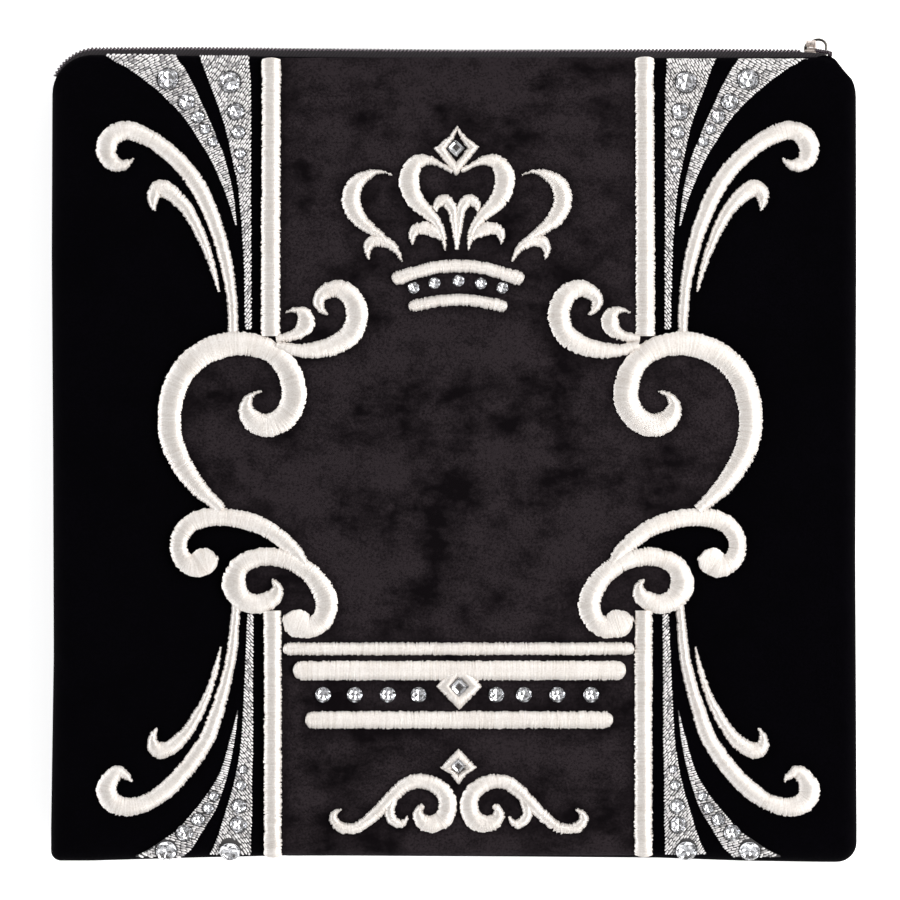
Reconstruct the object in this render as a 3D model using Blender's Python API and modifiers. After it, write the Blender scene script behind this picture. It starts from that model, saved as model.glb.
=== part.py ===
"""Square velvet zip bag with raised satin embroidery and rhinestones.

The bag lies on its back: front face up, zip along +Y. The origin is the middle of the face it rests on.
Sizes below are in millimetres from the design's middle, and become metres where a mesh is made.
"""
import math

import bmesh
import bpy
from mathutils import Vector

MM = 0.001

# Body of the bag
SEAM_Z = 12.0
SEAM_GAP = 0.3
HEM_LIFT = 3.25
LIFT_FROM_Y = 108.0
LIFT_FULL_Y = 113.5
RIM_STRIP = 0.8
FACE_Z = 18.0
CROWN = 8.0
HALF_SIZE = 120.6
MIDDLE_X = -1.2
WALL = 2.0
SHARP_ANGLE = 50.0
ROUNDING = {"side": 5.0, "top": 2.0, "bottom": 6.0}
CORNER_RADIUS = {"top_left": 12.0, "top_right": 12.0, "bottom_left": 3.0, "bottom_right": 6.0}
SIDE_POINTS = 6
CORNER_STEPS = 3
INSETS = [0.46, 1.76, 3.7, 6.0, 16.0, 36.0, 66.0, 96.0]

# Edges of the panels: position along the edge, edge coordinate
LEFT_EDGE = [(-112.0, -122.2), (-60.0, -121.4), (0.0, -121.6), (60.0, -122.0), (112.0, -121.8)]
RIGHT_EDGE = [(-112.0, 119.7), (-30.0, 119.3), (60.0, 119.6), (112.0, 119.5)]
TOP_HEM = [(-110.0, 119.6), (0.0, 118.7), (60.0, 118.9), (110.0, 119.2)]
BOTTOM_EDGE = [(-110.0, -121.8), (-80.0, -120.9), (-50.0, -120.2), (20.0, -120.6), (60.0, -120.9),
               (85.0, -121.8), (110.0, -122.2)]

# Heights above the front panel
GAP = 0.3
CLOTH = 0.7
SATIN = 1.1
UNDER_SATIN = 0.95
LOWEST_SATIN = 0.8
FAN_CLOTH = 0.6
FAN_BEVEL = 0.3
FAN_BEVEL_SHARE = 0.2
THIN_STRIP = 0.35
STRIP_SLOPE = 0.3
STRIP_SHAPE = [(-0.5, 0.0), (0.5, 0.0), (0.36, 0.7), (0.0, 1.0), (-0.36, 0.7)]
BAR_END = [(0.03, 0.4), (0.15, 0.75), (0.5, 1.0)]
BAR_MIDDLE = (0.25, 0.5, 0.75)
LOZENGE_TOP = 0.82
NORMAL_STEP = 0.15
ON_PANEL = GAP
ON_CLOTH = GAP + CLOTH + GAP
STONE_RISE = 0.4
SQUARE_SINK = 0.3

# Satin strips of the left half: x, y, width
BIG_SCROLL = [
    (-58.7, 19.1, 0.6), (-61.8, 17.9, 1.9), (-63.4, 15.2, 3.8), (-62.8, 12.0, 5.6), (-60.3, 9.6, 6.6),
    (-56.3, 8.9, 7.0), (-51.9, 11.2, 7.2), (-49.4, 15.6, 7.4), (-49.1, 20.1, 7.4), (-50.6, 25.1, 7.0),
    (-53.9, 29.4, 6.5), (-58.8, 32.3, 6.7), (-65.4, 33.4, 7.1), (-71.4, 32.5, 7.4), (-77.2, 29.9, 7.4),
    (-81.9, 25.6, 7.4), (-84.9, 20.1, 7.3), (-86.3, 13.5, 7.1), (-86.3, 7.2, 6.9), (-84.8, 1.5, 6.7),
    (-81.6, -4.7, 6.1), (-77.4, -10.2, 5.1), (-73.1, -14.2, 3.8),
]
UPPER_SCROLL = [
    (-39.0, 41.9, 0.6), (-41.0, 43.8, 2.6), (-41.6, 46.4, 3.6), (-40.1, 48.5, 4.4), (-36.6, 49.9, 5.2),
    (-32.7, 48.2, 6.0), (-30.5, 44.4, 6.5), (-30.3, 40.8, 6.6), (-32.0, 36.3, 6.3), (-36.2, 33.2, 5.9),
    (-41.9, 31.5, 5.1), (-47.6, 31.2, 4.0),
]
UPPER_LEAF = [
    (-51.6, 42.6, 0.5), (-50.1, 43.2, 1.1), (-48.0, 43.3, 2.3), (-46.0, 41.9, 4.6), (-45.6, 39.2, 5.4),
    (-47.0, 36.6, 4.6), (-48.6, 34.6, 3.6), (-49.6, 32.2, 2.6),
]
LOWER_SCROLL = [
    (-72.1, -31.1, 1.6), (-72.9, -31.3, 5.0), (-74.4, -31.6, 7.4), (-76.2, -32.0, 8.2), (-78.3, -33.2, 7.2),
    (-81.0, -32.6, 6.0), (-83.0, -30.3, 5.5), (-83.7, -27.3, 5.1), (-83.1, -24.3, 5.3), (-81.2, -21.5, 5.4),
    (-78.0, -19.5, 5.6), (-73.5, -18.6, 5.4), (-67.8, -18.8, 5.2), (-62.3, -20.0, 5.4), (-57.2, -22.1, 5.1),
    (-52.7, -25.3, 4.8), (-48.6, -29.1, 4.3), (-46.0, -31.6, 3.4),
]
LOWER_ARCH = [
    (-55.7, -37.1, 0.6), (-54.2, -39.5, 3.2), (-55.2, -42.6, 5.2), (-59.7, -44.6, 5.8), (-64.4, -43.4, 6.3),
    (-67.1, -39.2, 7.2), (-65.9, -34.1, 6.1), (-62.6, -31.6, 5.7), (-57.6, -30.4, 5.5), (-52.2, -31.1, 5.3),
    (-47.3, -33.2, 5.5), (-43.2, -36.5, 5.9), (-40.1, -41.3, 6.5), (-39.3, -45.3, 6.6), (-40.7, -49.4, 6.2),
    (-44.0, -51.5, 6.4), (-47.7, -50.5, 8.6), (-49.6, -49.9, 7.6), (-51.2, -49.3, 5.2), (-52.1, -49.0, 2.0),
]
UPPER_CORNER_CURL = [
    (-67.4, 37.6, 3.0), (-67.8, 46.5, 3.2), (-69.6, 57.9, 3.9), (-72.9, 69.3, 4.5), (-77.4, 79.5, 5.0),
    (-82.5, 86.7, 5.1), (-89.1, 92.7, 5.1), (-94.5, 95.9, 5.4), (-99.3, 97.4, 5.7), (-103.8, 95.7, 6.0),
    (-105.5, 91.8, 6.2), (-104.1, 88.2, 5.1), (-101.1, 86.9, 3.9), (-98.4, 87.9, 1.8), (-97.4, 89.1, 0.6),
]
LOWER_CORNER_CURL = [
    (-66.6, -48.4, 2.6), (-67.7, -58.5, 3.2), (-69.0, -65.4, 3.5), (-70.9, -72.6, 3.9), (-72.9, -78.9, 4.4),
    (-75.3, -85.1, 4.7), (-78.8, -90.6, 5.0), (-82.8, -95.7, 5.1), (-87.3, -100.2, 5.3), (-93.0, -104.1, 5.0),
    (-99.3, -105.6, 5.6), (-104.3, -103.7, 6.2), (-105.3, -99.5, 6.0), (-102.3, -95.1, 4.2),
    (-99.3, -96.3, 2.4), (-97.8, -98.0, 0.6),
]
UPPER_SMALL_CURL = [
    (-71.7, 48.9, 0.6), (-73.5, 56.1, 2.0), (-76.4, 64.2, 2.9), (-80.4, 72.3, 3.8), (-84.6, 77.4, 4.6),
    (-88.8, 80.0, 5.2), (-91.1, 78.3, 4.3), (-91.4, 75.3, 2.6), (-90.7, 73.2, 0.6),
]
LOWER_SMALL_CURL = [
    (-71.1, -57.5, 0.6), (-72.4, -63.4, 1.6), (-74.0, -68.8, 2.0), (-75.9, -73.7, 2.5), (-78.4, -78.5, 3.2),
    (-81.0, -82.7, 3.6), (-83.9, -85.9, 4.3), (-86.8, -88.0, 4.6), (-89.2, -88.6, 5.0), (-91.1, -87.5, 4.4),
    (-91.6, -85.7, 3.0), (-91.3, -83.8, 2.0), (-90.2, -81.8, 0.6),
]
UPPER_COLUMN = [(-56.0, 117.8, 5.6), (-56.0, 117.0, 5.6), (-56.0, 115.8, 5.6), (-56.0, 90.0, 5.6),
                (-56.1, 62.0, 5.7), (-56.1, 36.6, 5.7)]
LOWER_COLUMN = [(-55.6, -48.3, 5.3), (-55.5, -72.0, 5.3), (-55.6, -96.0, 5.3), (-55.6, -113.8, 5.3),
                (-55.6, -116.6, 5.3), (-55.6, -118.6, 5.3)]
CROWN_OUTER_ARCH = [
    (-19.4, 83.9, 0.5), (-22.8, 84.8, 1.0), (-26.7, 83.9, 3.0), (-30.6, 80.9, 5.0), (-31.7, 75.9, 5.6),
    (-29.6, 71.1, 5.0), (-26.3, 68.1, 3.6), (-22.8, 65.6, 2.4), (-21.0, 63.6, 2.0),
]
CROWN_OUTER_HOOK = [
    (-26.3, 58.5, 0.5), (-26.8, 61.4, 2.4), (-25.7, 63.6, 3.6), (-23.3, 64.1, 3.5), (-20.7, 63.4, 3.2),
    (-18.3, 61.4, 2.2), (-16.4, 57.9, 0.5),
]
CROWN_INNER_ARCH = [
    (-1.6, 85.2, 1.6), (-5.6, 87.2, 1.7), (-8.4, 88.3, 3.0), (-12.2, 87.4, 4.7), (-14.3, 83.4, 6.0),
    (-13.7, 78.8, 5.7), (-11.5, 75.2, 5.0), (-8.6, 72.5, 3.9), (-5.9, 69.5, 2.9), (-4.4, 66.0, 2.3),
    (-3.4, 61.2, 0.5),
]
CROWN_INNER_HOOK = [
    (-13.2, 63.0, 0.5), (-13.3, 65.6, 2.4), (-12.1, 67.5, 3.4), (-9.2, 67.8, 3.9), (-6.3, 66.5, 3.4),
    (-4.9, 65.0, 1.6),
]
CROWN_FLEUR = [
    (-6.0, 72.8, 0.5), (-6.0, 74.9, 2.0), (-4.1, 76.4, 3.0), (-2.1, 75.2, 2.9), (-1.0, 72.6, 2.4),
    (-0.5, 67.5, 1.7), (0.0, 61.5, 0.9),
]
CROWN_BAND_UPPER = [
    (-19.6, 52.3, 1.6), (-19.1, 52.5, 3.2), (-17.9, 52.9, 4.1), (-12.0, 54.8, 3.9), (-6.0, 56.2, 3.8),
    (0.0, 56.6, 3.8), (6.0, 56.2, 3.8), (12.0, 54.8, 3.9), (17.9, 52.9, 4.1),
    (19.1, 52.5, 3.2), (19.6, 52.3, 1.6),
]
CROWN_BAND_LOWER = [
    (-14.7, 44.2, 1.4), (-14.2, 44.3, 2.7), (-13.1, 44.6, 3.5), (-6.9, 45.9, 3.5), (0.0, 46.5, 3.5),
    (6.9, 45.9, 3.5), (13.1, 44.6, 3.5), (14.2, 44.3, 2.7), (14.7, 44.2, 1.4),
]
FLOURISH = [
    (-35.1, -106.1, 0.6), (-37.1, -107.3, 1.9), (-37.5, -109.4, 2.7), (-35.7, -111.5, 3.1), (-32.9, -112.1, 3.2),
    (-29.4, -111.2, 3.3), (-25.8, -108.5, 3.7), (-22.2, -104.9, 3.9), (-18.6, -101.1, 4.1), (-15.0, -98.4, 4.3),
    (-11.1, -97.7, 4.4), (-7.2, -98.8, 4.7), (-4.0, -101.7, 5.2), (-3.2, -105.3, 5.4), (-4.5, -108.9, 5.6),
    (-8.3, -110.6, 5.1), (-11.5, -109.1, 4.3), (-11.9, -106.4, 2.7), (-10.5, -104.9, 1.3),
]
FLOURISH_HOOK = [
    (-19.8, -102.8, 3.3), (-20.7, -106.8, 3.1), (-19.8, -109.4, 3.0), (-17.7, -110.6, 2.8),
    (-15.9, -109.7, 1.7), (-15.2, -108.2, 0.5),
]

# Straight bars under the middle field: y, left end, right end, width
BARS = {
    "base_bar_top": (-58.0, -52.5, 52.8, 3.8),
    "base_bar_middle": (-64.5, -49.5, 50.3, 5.8),
    "base_bar_bottom": (-79.3, -45.9, 46.5, 5.2),
}

# Corners of the lozenges
CROWN_LOZENGE = [(0.0, 98.7), (2.6, 95.2), (6.7, 92.1), (0.0, 83.9), (-6.9, 91.9), (-2.6, 95.2)]
BASE_LOZENGE = [(0.4, -61.4), (7.3, -69.3), (0.4, -76.3), (-6.6, -69.3)]
FOOT_LOZENGE = [(0.1, -87.8), (5.7, -93.6), (2.6, -95.6), (0.2, -98.9), (-2.3, -95.6), (-5.4, -93.6)]

# Sideways shifts of motifs that don't sit on the middle line
CROWN_SHIFT = -0.3
FLOURISH_SHIFT = 0.15
RIGHT_SCROLL_SHIFT = 1.2

# Silver fans of the left half: y, left, right
FANS = {
    "upper_outer": [
        (118.5, -104.2, -84.1), (117.5, -102.2, -83.2), (116.0, -99.2, -82.0), (111.0, -92.4, -79.2),
        (106.2, -87.0, -77.0), (100.5, -81.8, -74.4), (94.5, -77.9, -71.9), (88.5, -74.3, -69.6),
        (78.6, -69.9, -67.3), (68.7, -66.8, -66.2),
    ],
    "upper_inner": [
        (118.1, -77.2, -62.6), (117.2, -76.8, -62.5), (115.8, -76.2, -62.4), (110.1, -74.1, -62.1),
        (99.0, -70.1, -62.0), (87.0, -67.4, -62.0),
        (79.5, -65.9, -62.0), (61.5, -64.4, -61.9), (37.6, -63.8, -61.8),
    ],
    "lower_outer": [
        (-76.6, -66.3, -65.8), (-85.5, -68.6, -66.8), (-94.5, -71.3, -68.6), (-100.5, -74.6, -70.4),
        (-106.5, -79.2, -72.6), (-112.5, -84.5, -76.3), (-115.5, -88.9, -78.1), (-117.6, -91.9, -79.5),
        (-119.2, -94.8, -81.3), (-120.2, -97.0, -82.6),
    ],
    "lower_inner": [
        (-47.6, -63.2, -61.2), (-70.5, -64.2, -61.4), (-85.5, -65.1, -61.4), (-97.5, -67.1, -61.7),
        (-109.5, -70.6, -61.8), (-113.6, -71.9, -62.0), (-116.2, -72.9, -62.0), (-118.2, -74.0, -62.0),
        (-119.5, -74.8, -62.0),
    ],
}

# Rhinestones: x, y, diameter
FAN_STONES = {
    "upper_outer": [(-87.0, 112.7, 6.3), (-81.4, 105.8, 4.9), (-78.0, 101.4, 3.9), (-75.8, 97.7, 3.1),
                    (-73.5, 93.9, 2.9)],
    "upper_inner": [(-68.3, 111.8, 6.3), (-66.6, 102.9, 4.9), (-65.9, 96.7, 3.9), (-65.3, 90.3, 3.2),
                    (-65.1, 85.6, 2.4)],
    "lower_outer": [(-87.6, -118.2, 6.3), (-82.2, -113.2, 4.9), (-78.0, -109.3, 3.9), (-75.0, -105.9, 3.3),
                    (-73.3, -102.3, 2.9)],
    "lower_inner": [(-68.4, -118.2, 6.3), (-66.0, -110.9, 4.9), (-65.7, -105.3, 4.4), (-65.1, -99.0, 3.1),
                    (-64.5, -94.2, 2.4)],
}
CROWN_STONES = [(-13.2, 50.0, 3.5), (-7.0, 51.4, 3.5), (0.2, 52.1, 3.5), (6.9, 51.3, 3.5), (13.3, 50.0, 3.5)]
BASE_STONES_X = [-40.4, -30.9, -21.0, -11.8, 11.5, 19.8, 29.8, 39.9]
BASE_STONES_Y = -71.7
BASE_STONE = 4.7
TABLE = 0.56
STONE_HEIGHT = 0.4
STONE_SIDES = 8
SQUARE_TIERS = [(1.0, 0.0), (0.82, 0.3), (0.5, 0.55)]
SQUARE_STONES = {"crown": (-0.6, 91.8, 2.7), "base": (0.4, -69.3, 2.9), "foot": (0.1, -92.9, 2.4)}

# Charcoal field: y, half width
FIELD_EDGE = [
    (117.8, 55.8), (117.0, 55.8), (115.8, 55.8), (90.0, 55.8), (62.0, 55.9), (36.4, 56.1),
    (33.0, 69.9), (28.8, 78.6), (22.5, 83.9), (13.5, 86.3),
    (6.0, 86.1), (-0.3, 84.2), (-6.8, 80.7), (-12.3, 75.6), (-18.5, 67.4), (-22.7, 56.0), (-28.0, 50.5),
    (-31.0, 60.0), (-34.7, 66.0), (-39.5, 66.9), (-44.3, 63.2), (-47.6, 55.6), (-74.0, 55.6), (-100.0, 55.6),
    (-113.2, 55.6), (-116.2, 55.6), (-118.4, 55.6),
]
FIELD_COLUMNS = [-1.0, -0.7, -0.35, 0.0, 0.35, 0.7, 1.0]

# Zip: distance outside the hem and height of each corner of a section
TAPE_SECTION = [(-1.6, 14.4), (0.5, 14.35), (1.9, 14.1), (1.9, 14.8), (0.5, 15.05), (-1.6, 15.1)]
COIL_SECTION = [(0.6, 10.5), (0.6, 13.5), (1.2, 13.9), (2.1, 13.4), (2.4, 12.0), (2.1, 10.6), (1.2, 10.1)]
ZIP_FROM_Y = 112.6
END_PULL_IN = 1.7
END_STEPS = 3.0
SLIDER_X = (104.0, 110.7)
SLIDER_Y = (119.8, 121.6)
SLIDER_DEPTH = 3.8
BRIDGE_PATH = [(104.5, 121.3), (104.5, 122.9), (105.1, 123.4), (108.4, 123.6), (109.8, 123.2), (110.3, 122.4),
               (110.4, 121.3)]
BRIDGE_RADIUS = 0.5
WELD = 0.01
PIVOT = (106.7, 123.5, SEAM_Z)
KNUCKLE_RADIUS = 1.45
KNUCKLE_BORE = 0.85
KNUCKLE_WIDTH = 2.6
KNUCKLE_SIDES = 16
BORE_SIDES = 12
TAB_SIZE = (3.0, 0.9, 9.0)
TAB_DROP = 1.1
STOP_SIZE = (1.4, 1.6, 3.2)
STOP_GAP = 0.3
STOP_SINK = 0.3

# Colours of the materials: colour, metallic, roughness
FINISHES = {
    "black_velvet": ((0.012, 0.011, 0.014), 0.0, 0.95),
    "charcoal_velvet": ((0.045, 0.040, 0.048), 0.0, 0.9),
    "white_satin": ((0.86, 0.84, 0.80), 0.0, 0.5),
    "silver_thread": ((0.62, 0.61, 0.60), 0.3, 0.4),
    "rhinestone": ((0.80, 0.82, 0.86), 0.1, 0.05),
    "zip_tape": ((0.020, 0.019, 0.022), 0.0, 0.8),
    "nickel": ((0.70, 0.66, 0.62), 1.0, 0.22),
}


def between(table, at):
    """Value of a two-column table at a place between its rows."""
    if at <= table[0][0]:
        return table[0][1]
    for (a, value_a), (b, value_b) in zip(table, table[1:]):
        if at <= b:
            return value_a + (value_b - value_a) * (at - a) / (b - a)
    return table[-1][1]


def smoothstep(low, high, at):
    t = min(max((at - low) / (high - low), 0.0), 1.0)
    return t * t * (3 - 2 * t)


def edge_distance(x, y):
    """Distance inside the panel's edge, and how wide that edge is rounded."""
    side = "left" if x < MIDDLE_X else "right"
    end = "bottom" if y < 0 else "top"
    dx = x - between(LEFT_EDGE, y) if side == "left" else between(RIGHT_EDGE, y) - x
    dy = y - between(BOTTOM_EDGE, x) if end == "bottom" else between(TOP_HEM, x) - y
    radius = CORNER_RADIUS[f"{end}_{side}"]
    if dx < radius and dy < radius:
        across, along = radius - dx, radius - dy
        share = across ** 2 / (across ** 2 + along ** 2)
        return radius - math.hypot(across, along), ROUNDING["side"] * share + ROUNDING[end] * (1 - share)
    if dx / ROUNDING["side"] < dy / ROUNDING[end]:
        return dx, ROUNDING["side"]
    return dy, ROUNDING[end]


def rim_z(y):
    """Height of the front panel's rim: at the seam, and lifted along the zip."""
    return SEAM_Z + SEAM_GAP / 2 + HEM_LIFT * smoothstep(LIFT_FROM_Y, LIFT_FULL_Y, y)


def front_z(x, y):
    """Outer surface of the front panel: rounded edges and a low crown."""
    distance, width = edge_distance(x, y)
    t = min(max(distance / width, 0.0), 1.0)
    lip = rim_z(y) + RIM_STRIP
    u = min(abs(x - MIDDLE_X) / HALF_SIZE, 1.0)
    v = min(abs(y) / HALF_SIZE, 1.0)
    return lip + (FACE_Z - lip) * math.sqrt(1 - (1 - t) ** 2) + CROWN * (1 - u * u) * (1 - v * v)


def raised(x, y, height):
    """Point at a height above the front panel, measured along its normal."""
    slope_x = (front_z(x + NORMAL_STEP, y) - front_z(x - NORMAL_STEP, y)) / (2 * NORMAL_STEP)
    slope_y = (front_z(x, y + NORMAL_STEP) - front_z(x, y - NORMAL_STEP)) / (2 * NORMAL_STEP)
    normal = Vector((-slope_x, -slope_y, 1.0)).normalized()
    return Vector((x, y, front_z(x, y))) + normal * height


def outline():
    """Edge of the panels, anticlockwise from the lower left corner."""
    points = []
    corners = [("bottom_left", -1, -1, 180), ("bottom_right", 1, -1, 270),
               ("top_right", 1, 1, 0), ("top_left", -1, 1, 90)]
    for name, side, end, start in corners:
        radius = CORNER_RADIUS[name]
        corner_y = end * (HALF_SIZE - radius)
        corner_x = between(RIGHT_EDGE if side > 0 else LEFT_EDGE, corner_y) - side * radius
        corner_y = between(TOP_HEM if end > 0 else BOTTOM_EDGE, corner_x) - end * radius
        for step in range(CORNER_STEPS + 1):
            angle = math.radians(start + 90 * step / CORNER_STEPS)
            points.append((corner_x + radius * math.cos(angle), corner_y + radius * math.sin(angle)))
    loop = []
    run = CORNER_STEPS + 1
    for i, point in enumerate(points):
        loop.append(point)
        if i % run == run - 1:
            after = points[(i + 1) % len(points)]
            for step in range(1, SIDE_POINTS + 1):
                t = step / (SIDE_POINTS + 1)
                x, y = (point[k] + (after[k] - point[k]) * t for k in range(2))
                if abs(after[0] - point[0]) > abs(after[1] - point[1]):
                    y = between(TOP_HEM if y > 0 else BOTTOM_EDGE, x)
                else:
                    x = between(RIGHT_EDGE if x > 0 else LEFT_EDGE, y)
                loop.append((x, y))
    return loop


def make_material(name):
    colour, metallic, roughness = FINISHES[name]
    material = bpy.data.materials.new(name)
    material.use_nodes = True
    shader = material.node_tree.nodes["Principled BSDF"]
    shader.inputs["Base Color"].default_value = (*colour, 1)
    shader.inputs["Metallic"].default_value = metallic
    shader.inputs["Roughness"].default_value = roughness
    return material


def make_object(name, points, faces, finish, collection):
    """Mesh object from points in millimetres, with its faces turned outward."""
    mesh = bpy.data.meshes.new(name)
    mesh.from_pydata([Vector(p) * MM for p in points], [], faces)
    tidy = bmesh.new()
    tidy.from_mesh(mesh)
    bmesh.ops.recalc_face_normals(tidy, faces=tidy.faces)
    tidy.to_mesh(mesh)
    tidy.free()
    mesh.materials.append(make_material(finish))
    thing = bpy.data.objects.new(name, mesh)
    collection.objects.link(thing)
    return thing


def loft(name, sections, finish, collection):
    """Closed solid through loops of the same number of points."""
    count = len(sections[0])
    points = [point for section in sections for point in section]
    faces = []
    for row in range(len(sections) - 1):
        for k in range(count):
            after = (k + 1) % count
            low, high = row * count, (row + 1) * count
            faces.append((low + k, low + after, high + after, high + k))
    faces.append(tuple(range(count))[::-1])
    last = (len(sections) - 1) * count
    faces.append(tuple(range(last, last + count)))
    return make_object(name, points, faces, finish, collection)


def unite(thing, tools):
    """Joins tools to an object, so that they are one body."""
    for tool in tools:
        joint = thing.modifiers.new("join", "BOOLEAN")
        joint.operation = "UNION"
        joint.solver = "EXACT"
        joint.object = tool
        tool.hide_render = True
        tool.display_type = "WIRE"
    return thing


def panel(name, finish, collection, back=False):
    """Domed velvet shell, open where it meets the other one."""
    loop = outline()
    rings = [[(x, y, rim_z(y)) for x, y in loop], [(x, y, rim_z(y) + RIM_STRIP) for x, y in loop]]
    for inset in INSETS:
        scale = 1 - inset / HALF_SIZE
        ring = [(MIDDLE_X + (x - MIDDLE_X) * scale, y * scale) for x, y in loop]
        rings.append([(x, y, front_z(x, y)) for x, y in ring])
    if back:
        rings = [[(x, y, max(2 * SEAM_Z - z, 0.0)) for x, y, z in ring] for ring in rings]
    count = len(loop)
    faces = []
    for row in range(len(rings) - 1):
        for k in range(count):
            after = (k + 1) % count
            low, high = row * count, (row + 1) * count
            quad = (low + k, low + after, high + after, high + k)
            faces.append(quad[::-1] if back else quad)
    last = (len(rings) - 1) * count
    cap = tuple(range(last, last + count))
    faces.append(cap[::-1] if back else cap)
    mesh = bpy.data.meshes.new(name)
    mesh.from_pydata([Vector(p) * MM for ring in rings for p in ring], [], faces)
    mesh.materials.append(make_material(finish))
    shell = bpy.data.objects.new(name, mesh)
    collection.objects.link(shell)
    wall = shell.modifiers.new("wall", "SOLIDIFY")
    wall.thickness = WALL * MM
    wall.offset = -1
    mesh.shade_smooth()
    mesh.set_sharp_from_angle(angle=math.radians(SHARP_ANGLE))
    return shell


def centre_field(collection):
    """Charcoal velvet appliqué in the middle, laid on the front panel."""
    sections = []
    for y, half in FIELD_EDGE:
        low = [raised(half * c, y, GAP) for c in FIELD_COLUMNS]
        high = [raised(half * c, y, GAP + CLOTH) for c in reversed(FIELD_COLUMNS)]
        sections.append(low + high)
    loft("centre_applique", sections, "charcoal_velvet", collection)


def mirrored(rows):
    return [(-x, *rest) for x, *rest in rows]


def shifted(rows, shift):
    return [(x + shift, *rest) for x, *rest in rows]


def satin_strip(name, rows, base, collection, rise=SATIN):
    """Padded satin strip with a domed section along a path of x, y and width."""
    sections = []
    for i, (x, y, width) in enumerate(rows):
        before, after = rows[max(i - 1, 0)], rows[min(i + 1, len(rows) - 1)]
        along = Vector((after[0] - before[0], after[1] - before[1])).normalized()
        top = min(rise, THIN_STRIP + STRIP_SLOPE * width)
        section = []
        for across, up in STRIP_SHAPE:
            px = x - along.y * width * across
            py = y + along.x * width * across
            section.append(raised(px, py, base + top * up))
        sections.append(section)
    return loft(name, sections, "white_satin", collection)


def bar_rows(y, left, right, width):
    """Path of a straight bar with round ends."""
    first = [(left + width * along, y, width * share) for along, share in BAR_END]
    last = [(right - width * along, y, width * share) for along, share in reversed(BAR_END)]
    middle = [(left + (right - left) * t, y, width) for t in BAR_MIDDLE]
    return first + middle + last


def lozenge(name, corners, base, collection, rise=SATIN):
    """Satin lozenge with sloping sides."""
    middle = [sum(p[k] for p in corners) / len(corners) for k in range(2)]
    low = [raised(x, y, base) for x, y in corners]
    inset = [[m + (c - m) * LOZENGE_TOP for c, m in zip(corner, middle)] for corner in corners]
    high = [raised(x, y, base + rise) for x, y in inset]
    return loft(name, [low, high], "white_satin", collection)


def fan(name, rows, collection):
    """Flat silver fan, laid on the front panel."""
    sections = []
    for y, left, right in rows:
        bevel = min(FAN_BEVEL, (right - left) * FAN_BEVEL_SHARE)
        top = ON_PANEL + FAN_CLOTH
        sections.append([raised(left, y, ON_PANEL), raised(right, y, ON_PANEL),
                         raised(right - bevel, y, top), raised(left + bevel, y, top)])
    return loft(name, sections, "silver_thread", collection)


def round_stone(name, x, y, diameter, base, collection):
    """Eight-sided cut stone with a table."""
    low, high = [], []
    top = base + diameter * STONE_HEIGHT
    centre = raised(x, y, base)
    normal = (raised(x, y, base + 1.0) - centre).normalized()
    right = Vector((1.0, 0.0, 0.0)) - normal * normal.x
    right.normalize()
    up = normal.cross(right)
    for k in range(STONE_SIDES):
        angle = 2 * math.pi * (k + 0.5) / STONE_SIDES
        spoke = right * math.cos(angle) + up * math.sin(angle)
        low.append(centre + spoke * diameter / 2)
        high.append(centre + spoke * diameter / 2 * TABLE + normal * (top - base))
    return loft(name, [low, high], "rhinestone", collection)


def square_stone(name, x, y, half_diagonal, base, collection):
    """Square step-cut stone on its corner: two rows of four facets and a table."""
    sections = []
    for size, up in SQUARE_TIERS:
        reach = half_diagonal * size
        corners = [(x, y + reach), (x - reach, y), (x, y - reach), (x + reach, y)]
        sections.append([raised(px, py, base + up * half_diagonal) for px, py in corners])
    return loft(name, sections, "rhinestone", collection)


def fans(collection, tools):
    """Eight fans, each with its five stones fused to it."""
    for key, rows in FANS.items():
        for side, place in (("left", 1), ("right", -1)):
            name = f"fan_{key}_{side}"
            edges = rows if place > 0 else [(y, -right, -left) for y, left, right in rows]
            body = fan(name, edges, collection)
            stones = []
            for i, (x, y, diameter) in enumerate(FAN_STONES[key]):
                stones.append(round_stone(f"{name}_stone_{i + 1}", place * x, y, diameter,
                                          ON_PANEL + STONE_RISE, tools))
            unite(body, stones)


def side_embroidery(collection, tools):
    """Columns, scrolls and curls, on the left and mirrored on the right."""
    for side, turn in (("left", list), ("right", mirrored)):
        satin_strip(f"column_upper_{side}", turn(UPPER_COLUMN), ON_CLOTH, collection)
        satin_strip(f"column_lower_{side}", turn(LOWER_COLUMN), ON_CLOTH, collection)
        big = shifted(turn(BIG_SCROLL), RIGHT_SCROLL_SHIFT if side == "right" else 0.0)
        satin_strip(f"big_scroll_{side}", big, ON_CLOTH, collection)
        leaf = satin_strip(f"leaf_{side}", turn(UPPER_LEAF), ON_CLOTH, tools, UNDER_SATIN)
        unite(satin_strip(f"upper_scroll_{side}", turn(UPPER_SCROLL), ON_CLOTH, collection), [leaf])
        curl = satin_strip(f"lower_curl_{side}", turn(LOWER_SCROLL), ON_CLOTH, tools, UNDER_SATIN)
        unite(satin_strip(f"lower_scroll_{side}", turn(LOWER_ARCH), ON_CLOTH, collection), [curl])
        satin_strip(f"corner_curl_upper_{side}", turn(UPPER_CORNER_CURL), ON_PANEL, collection)
        satin_strip(f"corner_curl_lower_{side}", turn(LOWER_CORNER_CURL), ON_PANEL, collection)
        satin_strip(f"small_curl_upper_{side}", turn(UPPER_SMALL_CURL), ON_PANEL, collection)
        satin_strip(f"small_curl_lower_{side}", turn(LOWER_SMALL_CURL), ON_PANEL, collection)


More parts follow.
